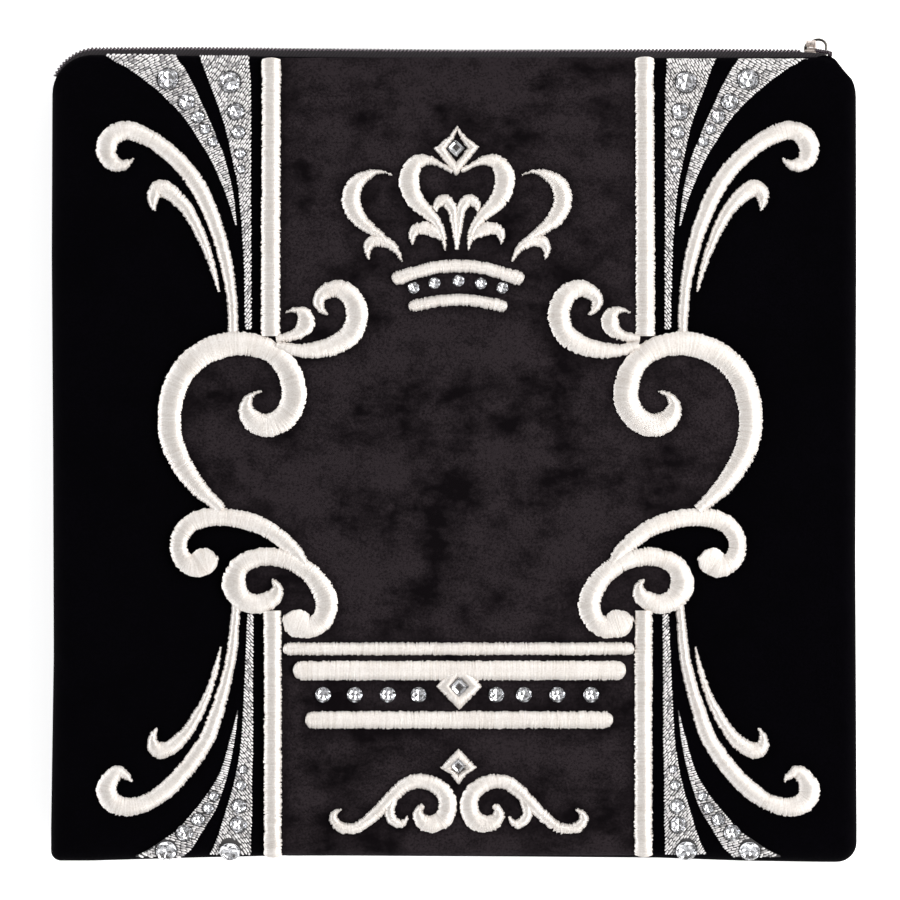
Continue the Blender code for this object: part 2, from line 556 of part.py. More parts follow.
def crown(collection, tools):
    """Crown: two outer arches, a heart with a lozenge, a fleur and two bands with stones between."""
    for side, turn in (("left", list), ("right", mirrored)):
        arch_rows = shifted(turn(CROWN_OUTER_ARCH), CROWN_SHIFT)
        hook_rows = shifted(turn(CROWN_OUTER_HOOK), CROWN_SHIFT)
        arch = satin_strip(f"crown_arch_{side}", arch_rows, ON_CLOTH, collection)
        hook = satin_strip(f"crown_hook_{side}", hook_rows, ON_CLOTH, tools, UNDER_SATIN)
        unite(arch, [hook])
    heart = lozenge("crown_heart", shifted(CROWN_LOZENGE, CROWN_SHIFT), ON_CLOTH, collection)
    x, y, reach = SQUARE_STONES["crown"]
    parts = [square_stone("crown_square", x, y, reach, ON_CLOTH + SATIN - SQUARE_SINK, tools)]
    for side, turn in (("left", list), ("right", mirrored)):
        arch = shifted(turn(CROWN_INNER_ARCH), CROWN_SHIFT)
        hook = shifted(turn(CROWN_INNER_HOOK), CROWN_SHIFT)
        parts.append(satin_strip(f"heart_arch_{side}", arch, ON_CLOTH, tools, UNDER_SATIN))
        parts.append(satin_strip(f"heart_hook_{side}", hook, ON_CLOTH, tools, LOWEST_SATIN))
    unite(heart, parts)
    left = satin_strip("crown_fleur", shifted(CROWN_FLEUR, CROWN_SHIFT), ON_CLOTH, collection)
    right_rows = shifted(mirrored(CROWN_FLEUR), CROWN_SHIFT)
    right = satin_strip("fleur_right", right_rows, ON_CLOTH, tools, UNDER_SATIN)
    unite(left, [right])
    satin_strip("crown_band_upper", CROWN_BAND_UPPER, ON_CLOTH, collection)
    satin_strip("crown_band_lower", CROWN_BAND_LOWER, ON_CLOTH, collection)
    for i, (x, y, diameter) in enumerate(CROWN_STONES):
        round_stone(f"crown_stone_{i + 1}", x, y, diameter, ON_CLOTH, collection)


def base_row(collection, tools):
    """Three bars, a lozenge and eight stones under the middle field."""
    bars = {name: satin_strip(name, bar_rows(*row), ON_CLOTH, collection) for name, row in BARS.items()}
    x, y, reach = SQUARE_STONES["base"]
    diamond = lozenge("base_lozenge", BASE_LOZENGE, ON_CLOTH, tools, UNDER_SATIN)
    stone = square_stone("base_square", x, y, reach, ON_CLOTH + UNDER_SATIN - SQUARE_SINK, tools)
    unite(bars["base_bar_middle"], [diamond, stone])
    for i, x in enumerate(BASE_STONES_X):
        round_stone(f"base_stone_{i + 1}", x, BASE_STONES_Y, BASE_STONE, ON_CLOTH, collection)


def flourish(collection, tools):
    """Lozenge and two curling sprays at the foot."""
    for side, turn in (("left", list), ("right", mirrored)):
        spray = satin_strip(f"flourish_{side}", shifted(turn(FLOURISH), FLOURISH_SHIFT), ON_CLOTH, collection)
        hook_rows = shifted(turn(FLOURISH_HOOK), FLOURISH_SHIFT)
        hook = satin_strip(f"flourish_hook_{side}", hook_rows, ON_CLOTH, tools, UNDER_SATIN)
        unite(spray, [hook])
    x, y, reach = SQUARE_STONES["foot"]
    diamond = lozenge("foot_lozenge", FOOT_LOZENGE, ON_CLOTH, collection)
    unite(diamond, [square_stone("foot_square", x, y, reach, ON_CLOTH + SATIN - SQUARE_SINK, tools)])


def zip_route():
    """Line of the zip along the top hem: point, outward direction, pull towards the hem at its ends."""
    loop = outline()
    run = [p for p in loop if p[1] > ZIP_FROM_Y]
    run.sort(key=lambda p: p[0])
    route = []
    for i, point in enumerate(run):
        before, after = run[max(i - 1, 0)], run[min(i + 1, len(run) - 1)]
        along = Vector((after[0] - before[0], after[1] - before[1])).normalized()
        outward = Vector((-along.y, along.x))
        ends = 1 - smoothstep(0.0, END_STEPS, min(i, len(run) - 1 - i))
        route.append((Vector(point), outward, END_PULL_IN * ends))
    return route


def zip_strip(name, section, finish, collection, flip=False, last_x=None):
    """Tape or coil swept along the zip's line."""
    sections = []
    route = zip_route()
    if last_x is not None:
        kept = [row for row in route if row[0].x < last_x]
        end = Vector((last_x, between(TOP_HEM, last_x)))
        route = kept + [(end, Vector((0.0, 1.0)), 0.0)]
    for point, outward, pull in route:
        loop = []
        for out, z in section:
            place = point + outward * (out - pull)
            loop.append((place.x, place.y, 2 * SEAM_Z - z if flip else z))
        sections.append(loop)
    return loft(name, sections, finish, collection)


def box_points(centre, size):
    half = [length / 2 for length in size]
    low = [(centre[0] + sx * half[0], centre[1] + sy * half[1], centre[2] - half[2])
           for sx, sy in ((-1, -1), (1, -1), (1, 1), (-1, 1))]
    high = [(x, y, centre[2] + half[2]) for x, y, _ in low]
    return [low, high]


def tube_mesh(name, path, radius, finish, collection):
    """Round wire along a path, as a closed mesh."""
    curve = bpy.data.curves.new(name, "CURVE")
    curve.dimensions = "3D"
    curve.bevel_depth = radius * MM
    curve.bevel_resolution = 2
    curve.use_fill_caps = True
    spline = curve.splines.new("POLY")
    spline.points.add(len(path) - 1)
    for point, place in zip(spline.points, path):
        point.co = (*(Vector(place) * MM), 1)
    wire = bpy.data.objects.new(name + "_wire", curve)
    collection.objects.link(wire)
    evaluated = wire.evaluated_get(bpy.context.evaluated_depsgraph_get())
    mesh = bpy.data.meshes.new_from_object(evaluated)
    tidy = bmesh.new()
    tidy.from_mesh(mesh)
    bmesh.ops.remove_doubles(tidy, verts=tidy.verts, dist=WELD * MM)
    bmesh.ops.recalc_face_normals(tidy, faces=tidy.faces)
    tidy.to_mesh(mesh)
    tidy.free()
    mesh.materials.clear()
    mesh.materials.append(make_material(finish))
    thing = bpy.data.objects.new(name, mesh)
    thing.matrix_world = wire.matrix_world
    collection.objects.link(thing)
    bpy.data.objects.remove(wire, do_unlink=True)
    return thing


def cylinder_x(name, centre, radius, length, sides, collection):
    """Cylinder lying along X, with its origin at its middle."""
    bpy.ops.mesh.primitive_cylinder_add(vertices=sides, radius=radius * MM, depth=length * MM,
                                        location=Vector(centre) * MM, rotation=(0, math.pi / 2, 0))
    thing = bpy.context.object
    thing.name = name
    for owner in thing.users_collection:
        owner.objects.unlink(thing)
    collection.objects.link(thing)
    thing.data.materials.append(make_material("nickel"))
    return thing


def slider(collection, tools):
    """Zip slider with its bridge, and the pull that hangs from it."""
    middle = ((SLIDER_X[0] + SLIDER_X[1]) / 2, (SLIDER_Y[0] + SLIDER_Y[1]) / 2, SEAM_Z)
    size = (SLIDER_X[1] - SLIDER_X[0], SLIDER_Y[1] - SLIDER_Y[0], SLIDER_DEPTH)
    body = loft("zip_slider", box_points(middle, size), "nickel", collection)
    bridge_line = [(x, y, SEAM_Z) for x, y in BRIDGE_PATH]
    bridge = tube_mesh("slider_bridge", bridge_line, BRIDGE_RADIUS, "nickel", tools)
    unite(body, [bridge])
    knuckle = cylinder_x("zip_pull", PIVOT, KNUCKLE_RADIUS, KNUCKLE_WIDTH, KNUCKLE_SIDES, collection)
    tab_middle = (PIVOT[0], PIVOT[1], PIVOT[2] - TAB_DROP - TAB_SIZE[2] / 2)
    tab = loft("pull_tab", box_points(tab_middle, TAB_SIZE), "nickel", tools)
    unite(knuckle, [tab])
    bore = cylinder_x("pull_bore", PIVOT, KNUCKLE_BORE, KNUCKLE_WIDTH * 2, BORE_SIDES, tools)
    cut = knuckle.modifiers.new("bore", "BOOLEAN")
    cut.operation = "DIFFERENCE"
    cut.solver = "EXACT"
    cut.object = bore
    bore.hide_render = True
    bore.display_type = "WIRE"


def zip_parts(collection, tools):
    zip_strip("zip_tape_front", TAPE_SECTION, "zip_tape", collection)
    zip_strip("zip_tape_back", TAPE_SECTION, "zip_tape", collection, flip=True)
    zip_strip("zip_coil", COIL_SECTION, "zip_tape", collection, last_x=SLIDER_X[0] - GAP)
    slider(collection, tools)
    stop_x = SLIDER_X[1] + STOP_GAP + STOP_SIZE[0] / 2
    stop = (stop_x, (SLIDER_Y[0] + SLIDER_Y[1]) / 2 - STOP_SINK, SEAM_Z)
    loft("zip_stop", box_points(stop, STOP_SIZE), "nickel", collection)


def main():
    for thing in list(bpy.data.objects):
        bpy.data.objects.remove(thing, do_unlink=True)
    bag = bpy.data.collections.new("tefillin_bag")
    tools = bpy.data.collections.new("joined_shapes")
    bpy.context.scene.collection.children.link(bag)
    bpy.context.scene.collection.children.link(tools)
    panel("front_panel", "black_velvet", bag)
    panel("back_panel", "black_velvet", bag, back=True)
    centre_field(bag)
    fans(bag, tools)
    side_embroidery(bag, tools)
    crown(bag, tools)
    base_row(bag, tools)
    flourish(bag, tools)
    zip_parts(bag, tools)


main()
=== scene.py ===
"""Looks of a square velvet bag with raised satin embroidery, silver fans, cut stones and a coil zip.

The bag lies on its back, front face up, with its zip along +Y. Sizes are in millimetres from the
design's middle, and become metres where a mesh is made.
"""
import math

import bmesh
import bpy
import numpy as np
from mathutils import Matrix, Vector, kdtree


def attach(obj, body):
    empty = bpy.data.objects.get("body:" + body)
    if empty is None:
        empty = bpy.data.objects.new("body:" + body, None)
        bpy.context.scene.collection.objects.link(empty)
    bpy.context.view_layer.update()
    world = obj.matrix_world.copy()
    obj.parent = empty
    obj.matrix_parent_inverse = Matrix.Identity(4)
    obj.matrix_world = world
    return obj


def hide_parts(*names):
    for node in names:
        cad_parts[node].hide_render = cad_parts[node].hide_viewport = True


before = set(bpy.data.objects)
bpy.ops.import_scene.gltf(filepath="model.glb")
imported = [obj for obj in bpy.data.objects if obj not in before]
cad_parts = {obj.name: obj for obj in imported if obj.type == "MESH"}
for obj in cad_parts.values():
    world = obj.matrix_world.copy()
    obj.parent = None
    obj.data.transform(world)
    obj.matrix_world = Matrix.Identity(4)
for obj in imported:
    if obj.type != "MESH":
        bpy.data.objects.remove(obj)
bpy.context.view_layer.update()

MM = 0.001
RANDOM = np.random.default_rng(7)

# Filled while the scene is made: materials by short name, and both edges of every satin strip
LOOK = {}
STROKES = []

# Body of the bag
SEAM_Z = 12.0
SEAM_GAP = 0.3
HEM_LIFT = 3.25
LIFT_FROM_Y = 108.0
LIFT_FULL_Y = 113.5
RIM_STRIP = 0.8
FACE_Z = 18.0
CROWN = 8.0
HALF_SIZE = 120.6
MIDDLE_X = -1.2
ROUNDING = {"side": 5.0, "top": 2.0, "bottom": 6.0}
CORNER_RADIUS = {"top_left": 12.0, "top_right": 12.0, "bottom_left": 3.0, "bottom_right": 6.0}

# Edges of the panels: position along the edge, edge coordinate
LEFT_EDGE = [(-112.0, -122.2), (-60.0, -121.4), (0.0, -121.6), (60.0, -122.0), (112.0, -121.8)]
RIGHT_EDGE = [(-112.0, 119.7), (-30.0, 119.3), (60.0, 119.6), (112.0, 119.5)]
TOP_HEM = [(-110.0, 120.1), (0.0, 119.1), (60.0, 119.2), (110.0, 119.4)]
BOTTOM_EDGE = [(-110.0, -121.8), (-80.0, -120.9), (-50.0, -120.2), (20.0, -120.6), (60.0, -120.9),
               (85.0, -121.8), (110.0, -122.2)]

# How far the seam at the slider stands out from its round corner: angle in degrees, distance
SHOULDER = [(0.0, 0.0), (26.0, 0.0), (37.0, -0.45), (50.0, -0.4), (61.0, 0.6), (71.0, 1.1), (81.0, 0.7),
            (90.0, 0.0)]

# Heights above the front panel
GAP = 0.3
CLOTH = 0.7
SATIN = 1.1
UNDER_SATIN = 0.95
LOWEST_SATIN = 0.8
THIN_STRIP = 0.35
STRIP_SLOPE = 0.3

# Round end of a bar: distance from its end and width, both as shares of the bar's width
BAR_END = [(0.02, 0.3), (0.08, 0.55), (0.2, 0.8), (0.36, 0.94), (0.58, 1.0), (0.9, 1.0), (1.4, 1.0),
           (2.2, 1.0), (3.6, 1.0)]
BAR_MIDDLE = (0.25, 0.5, 0.75)

# Size of a lozenge's opening as a share of the lozenge, and step over which the panel's slope is read
LOZENGE_OPENING = 0.3
NORMAL_STEP = 0.15

# Heights at which motifs and stones start
ON_PANEL = GAP
ON_CLOTH = GAP + CLOTH + GAP
STONE_RISE = 0.4
SQUARE_SINK = 0.3

# Satin strips of the left half: x, y, width
BIG_SCROLL = [
    (-58.7, 19.1, 0.6), (-61.8, 17.9, 1.9), (-63.4, 15.2, 3.8), (-62.8, 12.0, 5.6), (-60.3, 9.6, 6.6),
    (-56.3, 8.9, 7.0), (-51.9, 11.2, 7.2), (-49.4, 15.6, 7.4), (-49.1, 20.1, 7.4), (-50.6, 25.1, 7.0),
    (-53.9, 29.4, 6.5), (-58.8, 32.3, 6.7), (-65.4, 33.4, 7.1), (-71.4, 32.5, 7.4), (-77.2, 29.9, 7.4),
    (-81.9, 25.6, 7.4), (-84.9, 20.1, 7.3), (-86.3, 13.5, 7.1), (-86.3, 7.2, 6.9), (-84.8, 1.5, 6.7),
    (-81.6, -4.7, 6.1), (-77.4, -10.2, 5.1), (-73.1, -14.2, 3.9), (-71.0, -16.2, 3.7),
]
UPPER_SCROLL = [
    (-39.0, 41.9, 0.6), (-41.0, 43.8, 2.6), (-41.6, 46.4, 3.6), (-40.1, 48.5, 4.4), (-36.6, 49.9, 5.2),
    (-32.7, 48.2, 6.0), (-30.5, 44.4, 6.5), (-30.3, 40.8, 6.6), (-32.0, 36.3, 6.3), (-36.2, 33.2, 5.9),
    (-41.9, 31.5, 5.1), (-47.6, 31.3, 4.0), (-50.8, 31.9, 3.4), (-53.8, 32.9, 3.0),
]
UPPER_LEAF = [
    (-51.6, 42.6, 0.5), (-50.1, 43.2, 1.1), (-48.0, 43.3, 2.3), (-46.0, 41.9, 4.6), (-45.6, 39.2, 5.4),
    (-47.0, 37.0, 4.3), (-49.2, 35.8, 3.2), (-51.6, 35.2, 2.7), (-54.0, 34.9, 2.4),
]
LOWER_SCROLL = [
    (-72.1, -31.1, 1.6), (-72.9, -31.3, 5.0), (-74.4, -31.6, 7.4), (-76.2, -32.0, 8.2), (-78.3, -33.2, 7.2),
    (-81.0, -32.6, 6.0), (-83.0, -30.3, 5.5), (-83.7, -27.3, 5.1), (-83.1, -24.3, 5.3), (-81.2, -21.5, 5.4),
    (-78.0, -19.5, 5.6), (-73.5, -18.6, 5.4), (-67.8, -18.8, 5.2), (-62.3, -20.0, 5.4), (-57.2, -22.1, 5.1),
    (-52.7, -25.3, 4.8), (-48.6, -29.1, 4.2), (-46.4, -31.9, 2.9), (-44.9, -33.7, 1.2),
]
LOWER_ARCH = [
    (-55.7, -37.1, 0.6), (-54.2, -39.5, 3.2), (-55.2, -42.6, 5.2), (-59.7, -44.6, 5.8), (-64.4, -43.4, 6.3),
    (-67.1, -39.2, 7.2), (-65.9, -34.1, 6.1), (-62.6, -31.6, 5.7), (-57.6, -30.4, 5.5), (-52.2, -31.1, 5.3),
    (-47.3, -33.2, 5.5), (-43.2, -36.5, 5.9), (-40.1, -41.3, 6.5), (-39.3, -45.3, 6.6), (-40.7, -49.4, 6.2),
    (-44.0, -51.5, 6.4), (-47.7, -50.5, 8.6), (-49.6, -49.9, 7.6), (-51.2, -49.3, 5.2), (-52.1, -49.0, 2.0),
]
UPPER_CORNER_CURL = [
    (-67.3, 35.6, 3.0), (-67.8, 46.5, 3.2), (-69.6, 57.9, 3.9), (-72.9, 69.3, 4.5), (-77.4, 79.5, 5.0),
    (-82.5, 86.7, 5.1), (-89.1, 92.7, 5.1), (-94.5, 95.9, 5.4), (-99.3, 97.4, 5.7), (-103.8, 95.7, 6.0),
    (-105.5, 91.8, 6.2), (-104.1, 88.2, 5.1), (-101.1, 86.9, 3.9), (-98.4, 87.9, 1.8), (-97.4, 89.1, 0.6),
]
LOWER_CORNER_CURL = [
    (-66.4, -44.6, 2.6), (-67.7, -58.5, 3.2), (-69.0, -65.4, 3.5), (-70.9, -72.6, 3.9), (-72.9, -78.9, 4.4),
    (-75.3, -85.1, 4.7), (-78.8, -90.6, 5.0), (-82.8, -95.7, 5.1), (-87.3, -100.2, 5.3), (-93.0, -104.1, 5.0),
    (-99.3, -105.6, 5.6), (-104.3, -103.7, 6.2), (-105.3, -99.5, 6.0), (-102.3, -95.1, 4.2),
    (-99.3, -96.3, 2.4), (-97.8, -98.0, 0.6),
]
UPPER_SMALL_CURL = [
    (-71.7, 48.9, 0.6), (-73.5, 56.1, 2.0), (-76.4, 64.2, 2.9), (-80.4, 72.3, 3.8), (-84.6, 77.4, 4.6),
    (-88.8, 80.0, 5.2), (-91.1, 78.3, 4.3), (-91.4, 75.3, 2.6), (-90.7, 73.2, 0.6),
]
LOWER_SMALL_CURL = [
    (-71.1, -57.5, 0.6), (-72.4, -63.4, 1.6), (-74.0, -68.8, 2.0), (-75.9, -73.7, 2.5), (-78.4, -78.5, 3.2),
    (-81.0, -82.7, 3.6), (-83.9, -85.9, 4.3), (-86.8, -88.0, 4.6), (-89.2, -88.6, 5.0), (-91.1, -87.5, 4.4),
    (-91.6, -85.7, 3.0), (-91.3, -83.8, 2.0), (-90.2, -81.8, 0.6),
]
UPPER_COLUMN = [(-56.0, 117.8, 5.6), (-56.0, 117.0, 5.6), (-56.0, 115.8, 5.6), (-56.0, 90.0, 5.6),
                (-56.1, 62.0, 5.7), (-56.1, 36.0, 5.7)]
LOWER_COLUMN = [(-55.6, -47.0, 5.3), (-55.5, -72.0, 5.3), (-55.6, -96.0, 5.3), (-55.6, -113.8, 5.3),
                (-55.6, -116.6, 5.3), (-55.6, -118.6, 5.3)]
CROWN_OUTER_ARCH = [
    (-19.4, 83.9, 0.5), (-22.8, 84.8, 1.0), (-26.7, 83.9, 3.0), (-30.6, 80.9, 5.0), (-31.7, 75.9, 5.6),
    (-29.6, 71.1, 5.0), (-26.3, 68.1, 3.6), (-22.8, 65.6, 2.4), (-21.0, 63.6, 2.0),
]
CROWN_OUTER_HOOK = [
    (-26.3, 58.5, 0.5), (-26.8, 61.4, 2.4), (-25.7, 63.6, 3.6), (-23.3, 64.1, 3.5), (-20.7, 63.4, 3.2),
    (-18.3, 61.4, 2.2), (-16.4, 57.9, 0.5),
]
CROWN_INNER_ARCH = [
    (-1.6, 85.2, 1.6), (-5.6, 87.2, 1.7), (-8.4, 88.3, 3.0), (-12.2, 87.4, 4.7), (-14.3, 83.4, 6.0),
    (-13.7, 78.8, 5.7), (-11.5, 75.2, 5.0), (-8.6, 72.5, 3.9), (-5.9, 69.5, 2.9), (-4.4, 66.0, 2.3),
    (-3.4, 61.2, 0.5),
]
CROWN_INNER_HOOK = [
    (-13.2, 63.0, 0.5), (-13.3, 65.6, 2.4), (-12.1, 67.5, 3.4), (-9.2, 67.8, 3.9), (-6.3, 66.5, 3.4),
    (-4.9, 65.0, 1.6),
]
CROWN_FLEUR = [
    (-6.2, 72.8, 0.5), (-6.0, 74.8, 2.6), (-4.1, 76.3, 3.6), (-2.2, 75.1, 3.4), (-1.1, 72.6, 2.8),
    (-0.6, 67.5, 2.0), (0.0, 61.5, 0.9),
]
CROWN_BAND_UPPER = [
    (-19.6, 52.3, 1.6), (-19.1, 52.5, 3.2), (-17.9, 52.9, 4.1), (-12.0, 54.8, 3.9), (-6.0, 56.2, 3.8),
    (0.0, 56.6, 3.8), (6.0, 56.2, 3.8), (12.0, 54.8, 3.9), (17.9, 52.9, 4.1),
    (19.1, 52.5, 3.2), (19.6, 52.3, 1.6),
]
CROWN_BAND_LOWER = [
    (-14.7, 44.2, 1.4), (-14.2, 44.3, 2.7), (-13.1, 44.6, 3.5), (-6.9, 45.9, 3.5), (0.0, 46.5, 3.5),
    (6.9, 45.9, 3.5), (13.1, 44.6, 3.5), (14.2, 44.3, 2.7), (14.7, 44.2, 1.4),
]
FLOURISH = [
    (-35.1, -106.1, 0.6), (-37.1, -107.3, 1.9), (-37.5, -109.4, 2.7), (-35.7, -111.5, 3.1),
    (-32.9, -112.1, 3.2), (-29.4, -111.2, 3.3), (-25.8, -108.5, 3.7), (-22.2, -104.9, 3.9),
    (-18.6, -101.1, 4.1), (-15.0, -98.4, 4.3),
    (-11.1, -97.7, 4.4), (-7.2, -98.8, 4.7), (-4.0, -101.7, 5.2), (-3.2, -105.3, 5.4), (-4.5, -108.9, 5.6),
    (-8.3, -110.6, 5.1), (-11.5, -109.1, 4.3), (-11.9, -106.4, 2.7), (-10.5, -104.9, 1.3),
]
FLOURISH_HOOK = [
    (-19.8, -102.8, 3.3), (-20.7, -106.8, 3.1), (-19.8, -109.4, 3.0), (-17.7, -110.6, 2.8),
    (-15.9, -109.7, 1.7), (-15.2, -108.2, 0.5),
]

# Straight bars under the middle field: y, left end, right end, width
BARS = {
    "base_bar_top": (-58.0, -52.5, 52.8, 3.8),
    "base_bar_middle": (-64.5, -49.5, 50.3, 5.8),
    "base_bar_bottom": (-79.3, -45.9, 46.5, 5.2),
}

# Corners of the lozenges
CROWN_LOZENGE = [(0.0, 98.8), (2.5, 95.4), (6.8, 92.3), (-0.2, 83.5), (-6.9, 91.8), (-2.3, 95.5)]
CROWN_OPENING = [(0.0, 97.1), (1.1, 94.7), (3.1, 91.8), (-0.2, 87.7), (-3.3, 91.7), (-0.9, 94.8)]
BASE_LOZENGE = [(0.4, -61.4), (7.3, -69.3), (0.4, -76.3), (-6.6, -69.3)]
FOOT_LOZENGE = [(0.1, -87.8), (5.7, -93.6), (2.6, -95.6), (0.2, -98.9), (-2.3, -95.6), (-5.4, -93.6)]

# Sideways shifts of motifs that don't sit on the middle line
CROWN_SHIFT = -0.3
FLOURISH_SHIFT = 0.15
RIGHT_SCROLL_SHIFT = 1.2

# Strips in pairs: piece, rows, height of the foot, rise, node, shift at the left and at the right
SIDE_STRIPS = [
    ("column_upper", UPPER_COLUMN, ON_CLOTH, SATIN, "column_upper_{}", 0.0, 0.0),
    ("column_lower", LOWER_COLUMN, ON_CLOTH, SATIN, "column_lower_{}", 0.0, 0.0),
    ("big_scroll", BIG_SCROLL, ON_CLOTH, SATIN, "big_scroll_{}", 0.0, RIGHT_SCROLL_SHIFT),
    ("leaf", UPPER_LEAF, ON_CLOTH, UNDER_SATIN, "upper_scroll_{}", 0.0, 0.0),
    ("upper_scroll", UPPER_SCROLL, ON_CLOTH, SATIN, "upper_scroll_{}", 0.0, 0.0),
    ("lower_curl", LOWER_SCROLL, ON_CLOTH, UNDER_SATIN, "lower_scroll_{}", 0.0, 0.0),
    ("lower_scroll", LOWER_ARCH, ON_CLOTH, SATIN, "lower_scroll_{}", 0.0, 0.0),
    ("corner_curl_upper", UPPER_CORNER_CURL, ON_PANEL, SATIN, "corner_curl_upper_{}", 0.0, 0.0),
    ("corner_curl_lower", LOWER_CORNER_CURL, ON_PANEL, SATIN, "corner_curl_lower_{}", 0.0, 0.0),
    ("small_curl_upper", UPPER_SMALL_CURL, ON_PANEL, SATIN, "small_curl_upper_{}", 0.0, 0.0),
    ("small_curl_lower", LOWER_SMALL_CURL, ON_PANEL, SATIN, "small_curl_lower_{}", 0.0, 0.0),
]
CROWN_STRIPS = [
    ("crown_arch", CROWN_OUTER_ARCH, ON_CLOTH, SATIN, "crown_arch_{}", CROWN_SHIFT, CROWN_SHIFT),
    ("crown_hook", CROWN_OUTER_HOOK, ON_CLOTH, UNDER_SATIN, "crown_arch_{}", CROWN_SHIFT, CROWN_SHIFT),
    ("heart_arch", CROWN_INNER_ARCH, ON_CLOTH, UNDER_SATIN, "crown_heart", CROWN_SHIFT, CROWN_SHIFT),
    ("heart_hook", CROWN_INNER_HOOK, ON_CLOTH, LOWEST_SATIN, "crown_heart", CROWN_SHIFT, CROWN_SHIFT),
    ("crown_fleur", CROWN_FLEUR, ON_CLOTH, UNDER_SATIN, "crown_fleur", CROWN_SHIFT, CROWN_SHIFT),
]
FLOURISH_STRIPS = [
    ("flourish", FLOURISH, ON_CLOTH, SATIN, "flourish_{}", FLOURISH_SHIFT, FLOURISH_SHIFT),
    ("flourish_hook", FLOURISH_HOOK, ON_CLOTH, UNDER_SATIN, "flourish_{}", FLOURISH_SHIFT, FLOURISH_SHIFT),
]

# Silver fans of the left half: y, left, right
FANS = {
    "upper_outer": [
        (119.9, -106.8, -84.6), (118.9, -104.6, -84.2), (117.5, -102.0, -83.2), (116.0, -99.2, -82.0),
        (111.0, -92.4, -79.2), (106.2, -87.0, -77.0), (100.5, -81.8, -74.4), (94.5, -77.9, -71.9),
        (88.5, -74.3, -69.6), (78.6, -69.9, -67.3), (68.7, -66.8, -66.2),
    ],
    "upper_inner": [
        (119.6, -77.7, -62.6), (118.5, -77.3, -62.6), (117.2, -76.8, -62.5), (115.8, -76.2, -62.4),
        (110.1, -74.1, -62.1), (99.0, -70.1, -62.0), (87.0, -67.4, -62.0),
        (79.5, -65.9, -62.0), (61.5, -64.4, -61.9), (37.6, -63.8, -61.8),
    ],
    "lower_outer": [
        (-76.6, -66.3, -65.8), (-85.5, -68.6, -66.8), (-94.5, -71.3, -68.6), (-100.5, -74.6, -70.4),
        (-106.5, -79.2, -72.6), (-112.5, -84.5, -76.3), (-115.5, -88.9, -78.1), (-117.6, -91.9, -79.5),
        (-119.2, -94.8, -81.3), (-120.2, -97.0, -82.6),
    ],
    "lower_inner": [
        (-47.6, -63.2, -61.2), (-70.5, -64.2, -61.4), (-85.5, -65.1, -61.4), (-97.5, -67.1, -61.7),
        (-109.5, -70.6, -61.8), (-113.6, -71.9, -62.0), (-116.2, -72.9, -62.0), (-118.2, -74.0, -62.0),
        (-119.5, -74.8, -62.0),
    ],
}

# Rhinestones: x, y, diameter
FAN_STONES = {
    "upper_outer": [(-87.0, 112.7, 6.3), (-81.4, 105.8, 4.9), (-78.0, 101.4, 3.9), (-75.8, 97.7, 3.1),
                    (-73.5, 93.9, 2.9)],
    "upper_inner": [(-68.3, 111.8, 6.3), (-66.6, 102.9, 4.9), (-65.9, 96.7, 3.9), (-65.3, 90.3, 3.2),
                    (-65.1, 85.6, 2.4)],
    "lower_outer": [(-87.6, -118.2, 6.3), (-82.2, -113.2, 4.9), (-78.0, -109.3, 3.9), (-75.0, -105.9, 3.3),
                    (-73.3, -102.3, 2.9)],
    "lower_inner": [(-68.4, -118.2, 6.3), (-66.0, -110.9, 4.9), (-65.7, -105.3, 4.4), (-65.1, -99.0, 3.1),
                    (-64.5, -94.2, 2.4)],
}
CROWN_STONES = [(-13.2, 50.0, 3.5), (-7.0, 51.4, 3.5), (0.2, 52.1, 3.5), (6.9, 51.3, 3.5),
                (13.3, 50.0, 3.5)]
BASE_STONES_X = [-40.4, -30.9, -21.0, -11.8, 11.5, 19.8, 29.8, 39.9]
BASE_STONES_Y = -71.7
BASE_STONE = 4.7

# Cuts of the stones: radii as shares of a stone's radius, heights as shares of its height
TABLE = 0.56
CROWN_FACETS = (0.82, 0.68)
GIRDLE = (0.3, 0.22)
FOIL_RADIUS = 0.55
FOIL_STEPS = (0.04, 0.15)
FOIL_MIDDLE = 0.06
STONE_HEIGHT = 0.4
SQUARE_TIERS = [(0.5, 0.55), (0.74, 0.42), (0.92, 0.26), (1.0, 0.12), (1.0, 0.06), (0.6, 0.03),
                (0.3, 0.0)]
GLASS_TIERS = 4

# Square stones: node, x, y, distance from the middle to a corner, height of what carries the stone
SQUARE_STONES = {
    "crown": ("crown_heart", -0.6, 91.8, 2.7, ON_CLOTH),
    "base": ("base_bar_middle", 0.4, -69.3, 2.9, ON_CLOTH + UNDER_SATIN),
    "foot": ("foot_lozenge", 0.1, -92.9, 2.4, ON_CLOTH + SATIN),
}

# Charcoal field: y, half of the width
FIELD_EDGE = [
    (118.7, 55.8), (115.8, 55.8), (90.0, 55.8), (62.0, 55.9), (36.4, 56.1),
    (33.0, 69.9), (28.8, 78.6), (22.5, 83.9), (13.5, 86.3),
    (6.0, 86.1), (-0.3, 84.2), (-6.8, 80.7), (-12.3, 75.6), (-18.5, 67.4), (-22.7, 56.0), (-28.0, 50.5),
    (-31.0, 60.0), (-34.7, 66.0), (-39.5, 66.9), (-44.3, 63.2), (-47.6, 55.6), (-74.0, 55.6), (-100.0, 55.6),
    (-113.2, 55.6), (-116.2, 55.6), (-119.4, 55.6),
]

